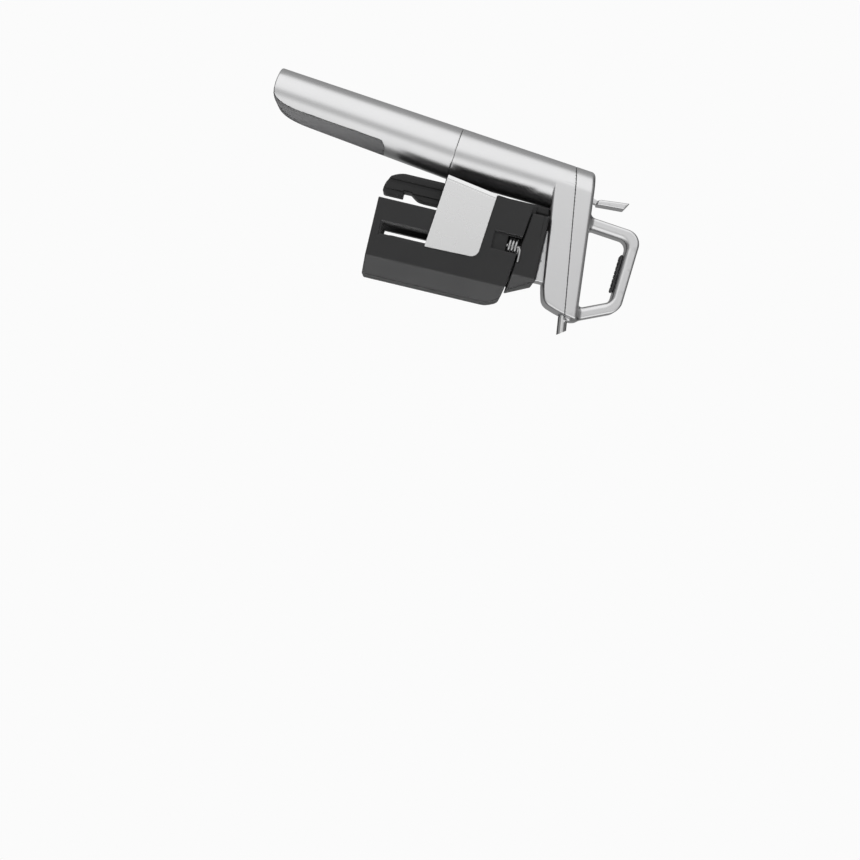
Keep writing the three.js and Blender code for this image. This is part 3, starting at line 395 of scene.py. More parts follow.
def placed(point, tube=False, mirror=False):
    """Points in millimetres moved to their place, in metres."""
    if tube:
        across, y, along = point.T
        point = TUBE_FOOT + across[:, None] * TUBE_SIDE + along[:, None] * TUBE_UP
        point[:, 1] = y
    if mirror:
        point = point * np.array([1, -1, 1])
    return point * MM


def finish_mesh(name, points, faces, crease, merge, flip=False):
    """An object from points and faces; merge is the angle under which flat faces are joined."""
    mesh = bpy.data.meshes.new(name)
    mesh.from_pydata(points.tolist(), [], faces.tolist() if hasattr(faces, "tolist") else faces)
    work = bmesh.new()
    work.from_mesh(mesh)
    if flip:
        bmesh.ops.reverse_faces(work, faces=work.faces)
    if merge:
        bmesh.ops.dissolve_limit(
            work,
            angle_limit=math.radians(merge),
            verts=work.verts,
            edges=work.edges,
            use_dissolve_boundaries=False,
        )
        bmesh.ops.triangulate(work, faces=work.faces, quad_method="BEAUTY", ngon_method="BEAUTY")
    work.to_mesh(mesh)
    work.free()
    mesh.polygons.foreach_set("use_smooth", [True] * len(mesh.polygons))
    mesh.set_sharp_from_angle(angle=math.radians(crease))
    piece = bpy.data.objects.new(name, mesh)
    bpy.context.scene.collection.objects.link(piece)
    return piece


def cast(name, field, low, high, step, tube=False, mirror=False, merge=0.25):
    point, faces = contour(field, low, high, step)
    return finish_mesh(name, placed(point, tube, mirror), faces, CREASE, merge, mirror)


def turned(name, profile, sides, centre=(0.0, 0.0)):
    """A piece turned about Z from a closed outline of (radius, height) pairs."""
    angles = 2 * math.pi * np.arange(sides) / sides
    points, faces = [], []
    count = len(profile)
    for angle in angles:
        for radius, height in profile:
            points.append((
                centre[0] + radius * math.cos(angle),
                centre[1] + radius * math.sin(angle),
                height,
            ))
    for i in range(sides):
        j = (i + 1) % sides
        for k in range(count):
            m = (k + 1) % count
            if profile[k][0] < 1e-6 and profile[m][0] < 1e-6:
                continue
            faces.append((i * count + k, j * count + k, j * count + m, i * count + m))
    piece = finish_mesh(name, np.array(points) * MM, faces, CREASE, merge=0)
    tidy_up(piece.data)
    return piece


def tidy_up(mesh):
    """Welds doubled points and turns every face outwards."""
    work = bmesh.new()
    work.from_mesh(mesh)
    bmesh.ops.remove_doubles(work, verts=work.verts, dist=1e-7)
    bmesh.ops.recalc_face_normals(work, faces=work.faces)
    work.to_mesh(mesh)
    work.free()


def soften(profile, radius, steps=4):
    """A closed outline of (radius, height) pairs with its outer corners rounded."""
    made = []
    count = len(profile)
    for i, corner in enumerate(profile):
        here = np.array(corner, float)
        before = np.array(profile[i - 1], float)
        after = np.array(profile[(i + 1) % count], float)
        into, out = before - here, after - here
        size = min(radius, 0.45 * np.linalg.norm(into), 0.45 * np.linalg.norm(out))
        on_axis = here[0] < 1e-6
        if on_axis or size <= 0:
            made.append(tuple(here))
            continue
        start = here + into / np.linalg.norm(into) * size
        end = here + out / np.linalg.norm(out) * size
        for k in range(steps + 1):
            t = k / steps
            made.append(tuple((1 - t) ** 2 * start + 2 * t * (1 - t) * here + t * t * end))
    return made


def sweep(name, path, radius, sides=14):
    """A round wire along a path, with rounded ends."""
    path = np.array(path, float)
    along = np.gradient(path, axis=0)
    along /= np.linalg.norm(along, axis=1)[:, None]
    side = np.cross(along[0], (0.0, 0.0, 1.0))
    if np.linalg.norm(side) < 1e-3:
        side = np.cross(along[0], (0.0, 1.0, 0.0))
    rings = []
    widths = np.full(len(path), radius)
    widths[0] = widths[-1] = radius * 0.55
    for place, ahead, width in zip(path, along, widths):
        side = side - ahead * side.dot(ahead)
        side /= np.linalg.norm(side)
        up = np.cross(ahead, side)
        for k in range(sides):
            angle = 2 * math.pi * k / sides
            rings.append(place + width * (math.cos(angle) * side + math.sin(angle) * up))
    faces = []
    for i in range(len(path) - 1):
        for k in range(sides):
            m = (k + 1) % sides
            faces.append((i * sides + k, i * sides + m, (i + 1) * sides + m, (i + 1) * sides + k))
    faces.append(tuple(reversed(range(sides))))
    faces.append(tuple((len(path) - 1) * sides + k for k in range(sides)))
    piece = finish_mesh(name, np.array(rings) * MM, faces, 50, merge=0)
    tidy_up(piece.data)
    return piece


# ---------------------------------------------------------------- stem, tube and cover
def to_tube(x, z):
    """From the object's X and Z to the distances across and along the tube."""
    across = (x - TUBE_FOOT[0]) * TUBE_SIDE[0] + (z - TUBE_FOOT[2]) * TUBE_SIDE[2]
    along = (x - TUBE_FOOT[0]) * TUBE_UP[0] + (z - TUBE_FOOT[2]) * TUBE_UP[2]
    return across, along


def from_tube(across, along):
    x = TUBE_FOOT[0] + across * TUBE_SIDE[0] + along * TUBE_UP[0]
    z = TUBE_FOOT[2] + across * TUBE_SIDE[2] + along * TUBE_UP[2]
    return x, z


def head_sides():
    """Outline of stem and cover from the side, open at the top and at the back."""
    nose = STEM_FRONT - STEM_NOSE
    return [
        (-FAR, stem_z(-FAR)),
        (nose, stem_z(nose)),
        (STEM_FRONT - STEM_NOSE / 2, stem_z(STEM_FRONT) + 1),
        (STEM_FRONT, seam_z(STEM_FRONT)),
        (STEM_FRONT + STEM_BULGE, cover_z(STEM_FRONT)),
        (STEM_FRONT + STEM_BULGE, FAR),
        (-FAR, FAR),
    ]


def swell(along):
    """How much wider than the frame's tube it is; along is 0 at the joint, where that is most."""
    tube = TUBE_SWELL * np.clip(1 - along / TUBE_SWELL_LENGTH, 0, 1)
    cup = TUBE_SWELL + CUP_TAPER * along / CUP_LENGTH
    return np.where(along > 0, tube, cup)


def head_envelope(across, y, x, z):
    sides = outline(x, z, head_sides(), NOSE_EDGE, skip=(4, 5, 6))
    stem = both(both(sides, np.abs(y) - TUBE_RADIUS, STEM_EDGE), -across)
    extra = swell(to_tube(x, z)[1])
    return either(stem, rod(across - extra, y, TUBE_RADIUS + extra))


def head_cavity(across, y, x, z):
    sides = outline(x, z, head_sides(), 1.0, skip=(4, 5, 6), inset=TUBE_WALL)
    inner = TUBE_RADIUS - TUBE_WALL
    stem = both(both(sides, np.abs(y) - inner, 0.8), -across)
    cavity = either(stem, rod(across, y, inner))
    return both(cavity, above(x, z, COVER_HEIGHT - COVER_WALL, COVER_SLOPE))


def spout_place(x, z):
    """Distances along the spout and across it."""
    angle = math.radians(SPOUT_SLOPE)
    height = z - (seam_z(STEM_FRONT) - STEM_FRONT * slope(SPOUT_SLOPE))
    return x * math.cos(angle) + height * math.sin(angle), height * math.cos(angle) - x * math.sin(angle)


def spout_hole(x, y, z):
    out, up = spout_place(x, z)
    return both(np.hypot(up, y) - SPOUT_RADIUS - GAP, SPOUT_HOLE_START - out)


def rail_screw_holes(x, y):
    return rod(x, np.abs(y), SCREW_RADIUS, SCREW_X, SCREW_Y)


def shell_field(across, y, along):
    x, z = from_tube(across, along)
    shell = both(head_envelope(across, y, x, z), above(x, z, SEAM_HEIGHT - GAP / 2, SEAM_SLOPE), SEAM_EDGE)
    shell = both(shell, -along, SEAM_EDGE)
    foot_low = (RAIL_HIGH[0] + GAP, -FOOT_HALF_WIDTH, CARRIAGE_HIGH[2] + GAP)
    foot = block(x, y, z, foot_low, (FOOT_FRONT, FOOT_HALF_WIDTH, FAR), BLOCK_EDGE)
    foot = both(foot, -outline(x, z, head_sides(), 0, skip=(1, 2, 3, 4, 5, 6)) - 1)
    shell = without(either(shell, foot), head_cavity(across, y, x, z))
    shell = without(shell, both(rod(x, y, NEEDLE_HOLE), -z))
    return without(without(shell, both(rail_screw_holes(x, y), -z)), spout_hole(x, y, z), FINE_EDGE)


def loop_corners():
    """Outer corners of the finger loop, from the cover's back round by its front."""
    front = STEM_FRONT + LOOP_OVERHANG
    lean = (LOOP_TOP - cover_z(front) + LOOP_LIMB) * slope(LOOP_LEAN)
    return [
        (LOOP_BACK, cover_z(LOOP_BACK) - LOOP_LIMB),
        (front, cover_z(front) - LOOP_LIMB),
        (front - lean, LOOP_TOP - 1.4),
        (LOOP_BACK + 3.4, LOOP_TOP + 1),
    ]


def cover_field(across, y, along):
    x, z = from_tube(across, along)
    top = above(x, z, COVER_HEIGHT, COVER_SLOPE)
    plate = both(head_envelope(across, y, x, z), top, COVER_EDGE)
    limb = outline(x, z, loop_corners(), LOOP_OUTER_CORNERS, skip=(0,))
    opening = outline(x, z, loop_corners(), LOOP_INNER_CORNERS, skip=(0,), inset=LOOP_LIMB)
    bar = both(limb, np.abs(y) - LOOP_HALF_WIDTH, LOOP_EDGE)
    loop = without(bar, opening, 2.7)
    loop = both(loop, -above(x, z, COVER_HEIGHT - COVER_WALL, COVER_SLOPE))
    chin = both(bar, (x - z + CHIN_CUT) / math.sqrt(2), 1.5)
    chin = both(chin, STEM_FRONT - CHIN_LENGTH - x)
    chin = both(chin, top)
    cover = either(either(plate, loop, 3.0), chin, 0.8)
    cover = without(cover, head_cavity(across, y, x, z))
    cover = both(cover, -above(x, z, SEAM_HEIGHT + GAP / 2, SEAM_SLOPE), SEAM_EDGE)
    slot_low = (PIVOT_X - 1, -TRIGGER_SLOT, PIVOT_Z)
    slot = block(x, y, z, slot_low, (PIVOT_X + 10, TRIGGER_SLOT, FAR), SOFT_EDGE)
    return without(without(cover, slot, SOFT_EDGE), spout_hole(x, y, z), FINE_EDGE)


def pad_field(x, y, z):
    """Pad under the loop's far limb; depth runs from the limb into the opening."""
    (x0, z0), (x1, z1) = loop_corners()[3], loop_corners()[2]
    rise = (z1 - z0) / (x1 - x0)
    middle = (x0 + x1) / 2 + 1.7
    depth = (z0 + (x - x0) * rise - z) / math.hypot(1, rise) - LOOP_LIMB
    pad = both(span(depth, 0.02, PAD_THICKNESS), np.abs(x - middle) - PAD_HALF_LENGTH, 1.0)
    pad = both(pad, np.abs(y) - PAD_HALF_WIDTH, 1.0)
    pitch = bpy.context.scene.pourer_sizes.rib_pitch / MM
    ribs = np.abs(((x - middle + pitch / 2) % pitch) - pitch / 2) - 0.3
    grooves = both(both(ribs, PAD_THICKNESS - 0.35 - depth), np.abs(x - middle) - PAD_HALF_LENGTH + 1.6)
    return without(pad, grooves, 0.2)


# ---------------------------------------------------------------- cup
def cup_form(across, y, along, inset=0.0):
    """The cup's outside, as a distance; along runs from the joint to the free end."""
    start_along = CUP_LENGTH - CUP_ROUND_LENGTH
    extra = swell(-along)
    start_across = TUBE_RADIUS - CUP_ROUND_WIDTH + 2 * extra
    u = np.maximum(across - start_across, 0) / (CUP_ROUND_WIDTH - inset)
    v = np.maximum(along - start_along, 0) / (CUP_ROUND_LENGTH - inset)
    power = CUP_SQUARENESS
    reach = np.maximum(u ** power + v ** power, 1e-9) ** (1 / power)
    grade = np.hypot((u / reach) ** (power - 1) / CUP_ROUND_WIDTH, (v / reach) ** (power - 1) / CUP_ROUND_LENGTH)
    side = (reach - 1) / np.maximum(grade, 1e-4)
    edge = 0.02 + 0.9 * np.clip(v, 0, 1) ** 2
    return both(rod(across - extra, y, TUBE_RADIUS + extra - inset), side, edge)


def inlay_edge(along):
    """Height of the inlay's long edge: straight, then curving round the cup's end."""
    sweep_length = CUP_LENGTH - INLAY_SWEEP
    share = np.clip((along - INLAY_SWEEP) / sweep_length, 0, 1)
    return INLAY_EDGE - INLAY_DROP * (1 - (1 - share ** 3) ** (1 / 3))


def inlay_region(across, along, clearance=0.0):
    return both(inlay_edge(along) + swell(-along) - clearance - across, INLAY_START - clearance - along, 5.0)


def cup_field(across, y, down):
    along = -down
    cup = both(cup_form(across, y, along), GAP / 2 - along, SEAM_EDGE)
    bore = both(rod(across, y, TUBE_RADIUS - TUBE_WALL), along - (CUP_LENGTH - CUP_FLOOR), 1.5)
    recess = both(inlay_region(across, along, 0.12), -cup_form(across, y, along, INLAY_THICKNESS + 0.1))
    return without(without(cup, bore, FINE_EDGE), recess, 0.1)


def inlay_field(across, y, down):
    along = -down
    inlay = both(cup_form(across, y, along), inlay_region(across, along), FINE_EDGE)
    return both(inlay, -cup_form(across, y, along, INLAY_THICKNESS))


# ---------------------------------------------------------------- rail
def rail_field(x, y, z):
    back, front = RAIL_LOW[0], RAIL_HIGH[0]
    end = RAIL_LOW[2]
    blade = both(span(x, back, front), end - z, 1.4)
    corner_points = [(back, end + RAIL_CUT), (back + RAIL_CUT, end), (FAR, end), (FAR, FAR), (back, FAR)]
    blade = both(blade, outline(x, z, corner_points, 0, skip=(1, 2, 3, 4)), 4.0)
    blade = both(blade, above(x, z, STEM_HEIGHT - GAP, STEM_SLOPE))
    curve = np.clip((z - NOTCH_CURVE) / NOTCH_CURVE_LENGTH, 0, 1)
    depth = front - NOTCH_DEPTH + NOTCH_DEPTH * np.sin(curve * math.pi / 2)
    notch = both(depth - x, span(z, NOTCH_LOW, NOTCH_HIGH))
    blade = without(blade, notch, SOFT_EDGE)
    width = both(blade, np.abs(y) - RAIL_HALF_WIDTH, 0.8)
    lip = both(front - 2.7 - x, RAIL_HALF_WIDTH - 1 - np.abs(y))
    rail = without(width, lip, FINE_EDGE)
    groove = both(np.abs(x - SCREW_X) - 0.9, RAIL_HALF_WIDTH - 1.5 - np.abs(y))
    rail = without(rail, groove, 0.25)
    return without(rail, both(rail_screw_holes(x, y), stem_z(back) - SCREW_LENGTH - z))


# ---------------------------------------------------------------- clamp
def joint_z(x):
    """Height of the sloping line where the carriage rests on the jaws."""
    return JOINT_FRONT[1] + (x - JOINT_FRONT[0]) * JOINT_RISE


def carriage_field(x, y, z):
    top = CARRIAGE_HIGH[2]
    wide = np.abs(y)
    profile = outline(x, z, [
        (JOINT_BACK[0], joint_z(JOINT_BACK[0]) + 0.6),
        (JOINT_FRONT[0], joint_z(JOINT_FRONT[0]) + 0.6),
        (7.9, top),
        (JOINT_BACK[0], top),
    ], 0.8)
    plan = both(wide - CARRIAGE_HALF_WIDTH, x - JOINT_FRONT[0])
    plan = both(plan, (wide + x - CARRIAGE_HALF_WIDTH - JOINT_FRONT[0] + CARRIAGE_CUT) / math.sqrt(2), BLOCK_EDGE)
    body = both(profile, plan, 0.9)
    core = both(rod(x, y, CORE_RADIUS), span(z, 2.1, 22), SOFT_EDGE)
    cheek_high = (CHEEK_FRONT, CHEEK_OUTER, CHEEK_TOP)
    bridge = block(x, y, z, (RAIL_HIGH[0] + GAP, -CHEEK_OUTER, EAR_BOTTOM), cheek_high, BLOCK_EDGE)
    cheek = block(x, wide, z, (RAIL_LOW[0] + 1.2, CHEEK_INNER, EAR_BOTTOM), cheek_high, BLOCK_EDGE)
    web = block(x, y, z, (CHEEK_FRONT - 1, -7, 3.1), (0, 7, 21))
    ear = outline(x, wide, [
        (-20.2, 9.6), (-12.1, 10.8), (-5.9, 15.3), (-5.9, 18.1), (-8.7, 19.1), (-11.7, 19.1), (-20.2, 14.8),
    ], SOFT_EDGE)
    ear = both(ear, span(z, EAR_BOTTOM, EAR_TOP), SOFT_EDGE)
    made = either(either(either(body, core), either(bridge, cheek)), either(web, ear))
    channel = both(x - RAIL_HIGH[0] - GAP, wide - CHEEK_INNER)
    pin = rod(x, wide, PIN_HOLE, HINGE_X, HINGE_Y)
    head = both(rod(x, wide, PIN_HEAD_HOLE, HINGE_X, HINGE_Y), top - 2 - z)
    coil = both(rod(x, wide, COIL_ROOM, HINGE_X, HINGE_Y), span(z, 0, 20))
    made = without(without(made, channel, FINE_EDGE), either(pin, head), 0.2)
    made = without(made, coil, FINE_EDGE)
    ledge = both(span(z, top - 3.0, top - 2.4), CARRIAGE_HALF_WIDTH - 0.45 - wide)
    return without(without(made, both(ledge, x + 17)), rod(x, y, GUIDE_HOLE), FINE_EDGE)


def plate_back(z):
    """X of the side plate's back edge, which leans."""
    return PLATE_BACK + (z - PLATE_TOP) * PLATE_LEAN


def hinge_block(x, y, z, low, high, radius=0.0):
    """A block whose X is measured from the hinge."""
    return block(x - HINGE_X, y, z, low, high, radius)


def jaw_field(x, y, z):
    """The left jaw; the right one is its mirror image."""
    out, front, bottom = JAW_HIGH[1], JAW_HIGH[0], JAW_LOW[2]
    plan = both(y - out, (x + y - front - out + JAW_CHAMFER) / math.sqrt(2), JAW_EDGE)
    plan = both(plan, x - front, JAW_EDGE)
    top = outline(x, z, [
        (front + 1, 4), (front - 0.5, 10.5), (front - 3.6, 15.6), JOINT_FRONT, (-FAR, joint_z(-FAR)),
    ], 1.2, skip=(4,))
    case = both(both(plan, top, JAW_EDGE), bottom - z, JAW_EDGE)
    jaw = both(case, 0.5 - y, FINE_EDGE)
    jaw = both(jaw, JAW_BACK - x, FINE_EDGE)
    wing_back = outline(x, z, [
        (-32.3, 24.7), (-34.0, WING_STEP), (-FAR, WING_STEP), (-FAR, 24.7),
    ], 0, skip=(1, 2, 3))
    under_plate = both(plate_back(z) + 1.3 - x, z - WING_STEP)
    wing = either(both(wing_back, WING_STEP - z), under_plate)
    wing = both(both(wing, span(y, out - WING_THICKNESS, out)), both(x + 14, -28.5 - z))
    wing = both(wing, top, SOFT_EDGE)
    jaw = either(jaw, wing)
    jaw = without(jaw, rod(x, y, JAW_INNER), FINE_EDGE)
    edge = np.maximum(14.2 - 0.06 * (x + 11.6), np.minimum(17.2 - 0.213 * (x + 18), 16.2 - 1.176 * (x + 13.3)))
    jaw = without(jaw, both(both(y - edge, x + 7.4), JAW_BACK - 0.01 - x))
    jaw = without(jaw, both(rod(x, y, PIN_HOLE, HINGE_X, HINGE_Y), EAR_BOTTOM - z))
    jaw = without(jaw, both(rod(x, y, COIL_ROOM, HINGE_X, HINGE_Y), 12.55 - z), 0.2)
    pocket = hinge_block(x, y, z, (-6, out - 3, 4.6), (4, FAR, FAR))
    slot = block(x, y, z, (-22, -FAR, EAR_BOTTOM - 1), (HINGE_X + 5, out - 1.6, EAR_TOP + 0.6))
    window = hinge_block(x, y, z, (4, -FAR, bottom + 5.5), (10.2, FAR, EAR_BOTTOM - 4), BLOCK_EDGE)
    jaw = without(without(without(jaw, pocket, SOFT_EDGE), slot, 0.2), window, SOFT_EDGE)
    frame_line = hinge_block(x, y, z, (3, out - 0.45, bottom + 4.4), (11.2, FAR, EAR_BOTTOM - 4), BLOCK_EDGE)
    return without(jaw, frame_line, FINE_EDGE)


def neck_pad_field(x, y, z):
    """Ribbed rubber pad that is a stretch of a ring round the bottle's neck."""
    angle = np.degrees(np.arctan2(y, x))
    radius = np.hypot(x, y)
    low, high = PAD_LOW[2], PAD_HIGH[2]
    ribs = NECK_RIB_DEPTH * (0.5 + 0.5 * np.cos((z - low) * 2 * math.pi / NECK_RIB_PITCH))
    pad = both(span(radius, NECK_RADIUS + ribs, JAW_INNER - GAP), span(z, low, high), FINE_EDGE)
    pad = both(pad, span(angle, *NECK_PAD_ANGLES) * math.radians(1) * radius, FINE_EDGE)
    window = hinge_block(x, y, z, (3.6, 0, low - 5), (10.6, FAR, high + 5))
    return without(pad, window, FINE_EDGE)


def plate_field(x, y, z):
    corners = [(-38.55, -27.7), (3.2, -31.6), (2.5, -1.8), (PLATE_BACK, PLATE_TOP)]
    face = both(outline(x, z, corners, 4.0, skip=(0, 3)), outline(x, z, corners, SOFT_EDGE, skip=(1, 2)), SOFT_EDGE)
    back = x - plate_back(z)
    rim = np.maximum(2.0 - back, 0) * 0.15
    plate = both(face, span(y, PLATE_OUT - PLATE_THICKNESS, PLATE_OUT - rim), 0.2)
    flange = both(span(back, 0, PLATE_THICKNESS), span(y, PLATE_OUT - 3.6, PLATE_OUT - 0.4))
    flange = both(flange, span(z, corners[0][1], PLATE_TOP))
    line = both(np.abs(back - 2.4) - 0.42, PLATE_OUT - 0.6 - y)
    return without(either(plate, flange), line, 0.1)


def lever_field(x, y, z):
    """Trigger: thumb paddle, neck, hub and the arm that reaches the valve."""
    paddle = outline(x, z, [(-47.0, 58.2), (-46.2, 57.0), (-43.8, 56.8), (-44.7, 72.4), (-48.6, 74.7)], 0.45)
    paddle = both(paddle, np.abs(y) - PADDLE_HALF_WIDTH, 0.9)
    ridges = np.abs(((z - 60) % RIDGE_PITCH) - RIDGE_PITCH / 2) - 0.28
    ridges = both(both(ridges, x + 46.7 + (z - 58) * 0.096), span(z, 60.5, 71.5))
    paddle = without(paddle, both(ridges, np.abs(y) - 4.6), 0.15)
    neck = outline(x, z, [
        (PIVOT_X + 0.4, PIVOT_Z - 0.5), (PIVOT_X + 3, PIVOT_Z - 1.5), (-44.2, 56.5), (-44.4, 59.5), (-46.2, 59.5),
    ], FINE_EDGE)
    neck = both(neck, np.abs(y) - 2.6, 0.4)
    from_pivot = np.hypot(x - PIVOT_X, z - PIVOT_Z)
    hub = both(from_pivot - HUB_RADIUS, np.abs(y) - 3.4, FINE_EDGE)
    across, along = to_tube(x, z)
    level = to_tube(PIVOT_X, PIVOT_Z)[1]
    arm = outline(across, along - level, [(-1, -2.4), (4, -2.6), (8, -2.6), (8, -0.8), (-1, 1.5)], FINE_EDGE)
    arm = both(arm, np.abs(y) - 2.4, FINE_EDGE)
    lever = either(either(either(paddle, neck, SOFT_EDGE), hub, FINE_EDGE), arm, FINE_EDGE)
    return without(lever, from_pivot - TRIGGER_PIN_HOLE)


def spout_field(x, y, z):
    out, up = spout_place(x, z)
    tube = span(np.hypot(up, y), SPOUT_BORE, SPOUT_RADIUS)
    tube = both(tube, SPOUT_END - SPOUT_LENGTH - out)
    angle = math.radians(SPOUT_SLANT)
    cut_end = (out - SPOUT_END + 1) * math.cos(angle) + up * math.sin(angle)
    return both(tube, cut_end, 0.25)


# ---------------------------------------------------------------- shader helpers
def node(tree, kind, inputs=None, **settings):
    made = tree.nodes.new(kind)
    for key, value in settings.items():
        setattr(made, key, value)
    for key, value in (inputs or {}).items():
        if isinstance(value, bpy.types.NodeSocket):
            tree.links.new(value, made.inputs[key])
        else:
            made.inputs[key].default_value = value
    return made


def maths(tree, operation, first, second, kind="ShaderNodeMath", **settings):
    return node(tree, kind, {0: first, 1: second}, operation=operation, **settings).outputs[0]


def new_group(name, inputs, outputs):
    """A shader node group with named sockets; returns its tree, its inputs and its outputs."""
    tree = bpy.data.node_groups.new(name, "ShaderNodeTree")
    for label, kind, value in inputs:
        tree.interface.new_socket(name=label, in_out="INPUT", socket_type=kind).default_value = value
    for label, kind in outputs:
        tree.interface.new_socket(name=label, in_out="OUTPUT", socket_type=kind)
    return tree, tree.nodes.new("NodeGroupInput").outputs, tree.nodes.new("NodeGroupOutput").inputs


def grain_group():
    """Fine lines along one direction, with broad cloudy changes over them."""
    tree, given, wanted = new_group(
        "Brushed grain",
        [("Turn", "NodeSocketFloat", 0.0), ("Across", "NodeSocketFloat", 5000.0), ("Along", "NodeSocketFloat", 60.0)],
        [("Lines", "NodeSocketFloat"), ("Clouds", "NodeSocketFloat")],
    )
    place = node(tree, "ShaderNodeTexCoord").outputs["Object"]
    turn = {"Vector": place, "Angle": given["Turn"]}
    straight = node(tree, "ShaderNodeVectorRotate", turn, rotation_type="Y_AXIS").outputs[0]
    stretch = node(tree, "ShaderNodeCombineXYZ", {"X": given["Across"], "Y": given["Across"], "Z": given["Along"]})
    drawn_out = maths(tree, "MULTIPLY", straight, stretch.outputs[0], "ShaderNodeVectorMath")
    lines = node(tree, "ShaderNodeTexNoise", {"Vector": drawn_out, "Scale": 1.0, "Detail": 3.0})
    clouds = node(tree, "ShaderNodeTexNoise", {"Vector": place, "Scale": 45.0, "Detail": 3.0})
    tree.links.new(lines.outputs["Fac"], wanted["Lines"])
    tree.links.new(clouds.outputs["Fac"], wanted["Clouds"])
    return tree


def moulded_group():
    """The fine dull grain of a moulded surface, and faint rubbed patches."""
    tree, given, wanted = new_group(
        "Moulded grain",
        [("Size", "NodeSocketFloat", 2500.0), ("Patch size", "NodeSocketFloat", 60.0)],
        [("Height", "NodeSocketFloat"), ("Patches", "NodeSocketFloat")],
    )
    place = node(tree, "ShaderNodeTexCoord").outputs["Object"]
    fine = node(tree, "ShaderNodeTexNoise", {"Vector": place, "Scale": given["Size"], "Detail": 2.0})
    cells = node(tree, "ShaderNodeTexVoronoi", {"Vector": place, "Scale": given["Size"]})
    height = maths(tree, "ADD", fine.outputs["Fac"], cells.outputs["Distance"])
    patches = node(tree, "ShaderNodeTexNoise", {"Vector": place, "Scale": given["Patch size"], "Detail": 4.0})
    tree.links.new(height, wanted["Height"])
    tree.links.new(patches.outputs["Fac"], wanted["Patches"])
    return tree


def edge_group():
    """A mask that is 1 on outer and inner edges, broken up by noise."""
    tree, given, wanted = new_group(
        "Edge mask",
        [("Width", "NodeSocketFloat", 0.0004), ("Strength", "NodeSocketFloat", 1.0)],
        [("Edge", "NodeSocketFloat")],
    )
    normal = node(tree, "ShaderNodeNewGeometry").outputs["Normal"]
    rounded = node(tree, "ShaderNodeBevel", {"Radius": given["Width"]}, samples=4)
    match = node(tree, "ShaderNodeVectorMath", {0: normal, 1: rounded.outputs[0]}, operation="DOT_PRODUCT")
    edge = node(tree, "ShaderNodeMapRange", {"Value": match.outputs["Value"], "From Min": 0.995, "From Max": 0.85})
    place = node(tree, "ShaderNodeTexCoord").outputs["Object"]
    broken = node(tree, "ShaderNodeTexNoise", {"Vector": place, "Scale": 350.0, "Detail": 4.0})
    kept = maths(tree, "MULTIPLY", edge.outputs[0], broken.outputs["Fac"])
    mask = maths(tree, "MULTIPLY", kept, given["Strength"], use_clamp=True)
    tree.links.new(mask, wanted["Edge"])
    return tree


def smudge_group():
    """Faint handling marks, as a change of roughness."""
    tree, given, wanted = new_group(
        "Smudges",
        [("Roughness", "NodeSocketFloat", 0.3), ("Spread", "NodeSocketFloat", 0.08)],
        [("Roughness", "NodeSocketFloat")],
    )
    place = node(tree, "ShaderNodeTexCoord").outputs["Object"]
    marks = node(tree, "ShaderNodeTexNoise", {"Vector": place, "Scale": 90.0, "Detail": 5.0, "Distortion": 0.6})
    centred = maths(tree, "SUBTRACT", marks.outputs["Fac"], 0.5)
    change = maths(tree, "MULTIPLY", centred, given["Spread"])
    total = maths(tree, "ADD", change, given["Roughness"], use_clamp=True)
    tree.links.new(total, wanted["Roughness"])
    return tree


GROUPS = {}
MATERIALS = {}


def shared(name):
    """One shader group for each effect, made when it is first asked for."""
    makers = {"grain": grain_group, "moulded": moulded_group, "edge": edge_group, "smudge": smudge_group}
    if name not in GROUPS:
        GROUPS[name] = makers[name]()
    return GROUPS[name]


def placed_group(tree, name, values):
    made = node(tree, "ShaderNodeGroup", node_tree=shared(name))
    for key, value in values.items():
        made.inputs[key].default_value = value
    return made.outputs


def shade(colour, factor):
    """A colour made darker or lighter, in full opacity."""
    return [min(1.0, channel * factor) for channel in colour[:3]] + [1.0]


def blank_material(name, metallic):
    made = bpy.data.materials.new(name)
    made.use_nodes = True
    tree = made.node_tree
    shader = tree.nodes["Principled BSDF"]
    shader.inputs["Metallic"].default_value = metallic
    return made, tree, shader


def mixed(tree, factor, first, second):
    """Mixes two colours, each a value or another node's output."""
    return node(tree, "ShaderNodeMix", {0: factor, 6: first, 7: second}, data_type="RGBA").outputs[2]


def join_shader(tree, shader, colour, roughness, bump):
    tree.links.new(colour, shader.inputs["Base Color"])
    tree.links.new(roughness, shader.inputs["Roughness"])
    tree.links.new(node(tree, "ShaderNodeBump", bump).outputs[0], shader.inputs["Normal"])


def metal_material(name, colour, roughness, turn=0.0, depth=0.5, contrast=0.05, spread=0.08):
    """Metal with brushed lines, cloudy handling marks and slightly brighter edges."""
    made, tree, shader = blank_material(name, 1.0)
    grain = placed_group(tree, "grain", {"Turn": turn})
    edge = placed_group(tree, "edge", {"Width": 0.0004, "Strength": 0.5})
    smudges = placed_group(tree, "smudge", {"Roughness": roughness, "Spread": spread})
    dark, light = shade(colour, 1 - contrast), shade(colour, 1 + contrast)
    lined = mixed(tree, grain["Lines"], dark, light)
    cloudy = mixed(tree, grain["Clouds"], dark, light)
    worn = mixed(tree, edge["Edge"], mixed(tree, 0.5, lined, cloudy), shade(colour, 1.12))
    bump = {"Strength": depth, "Distance": 0.00001, "Height": grain["Lines"]}
    join_shader(tree, shader, worn, smudges["Roughness"], bump)
    return made


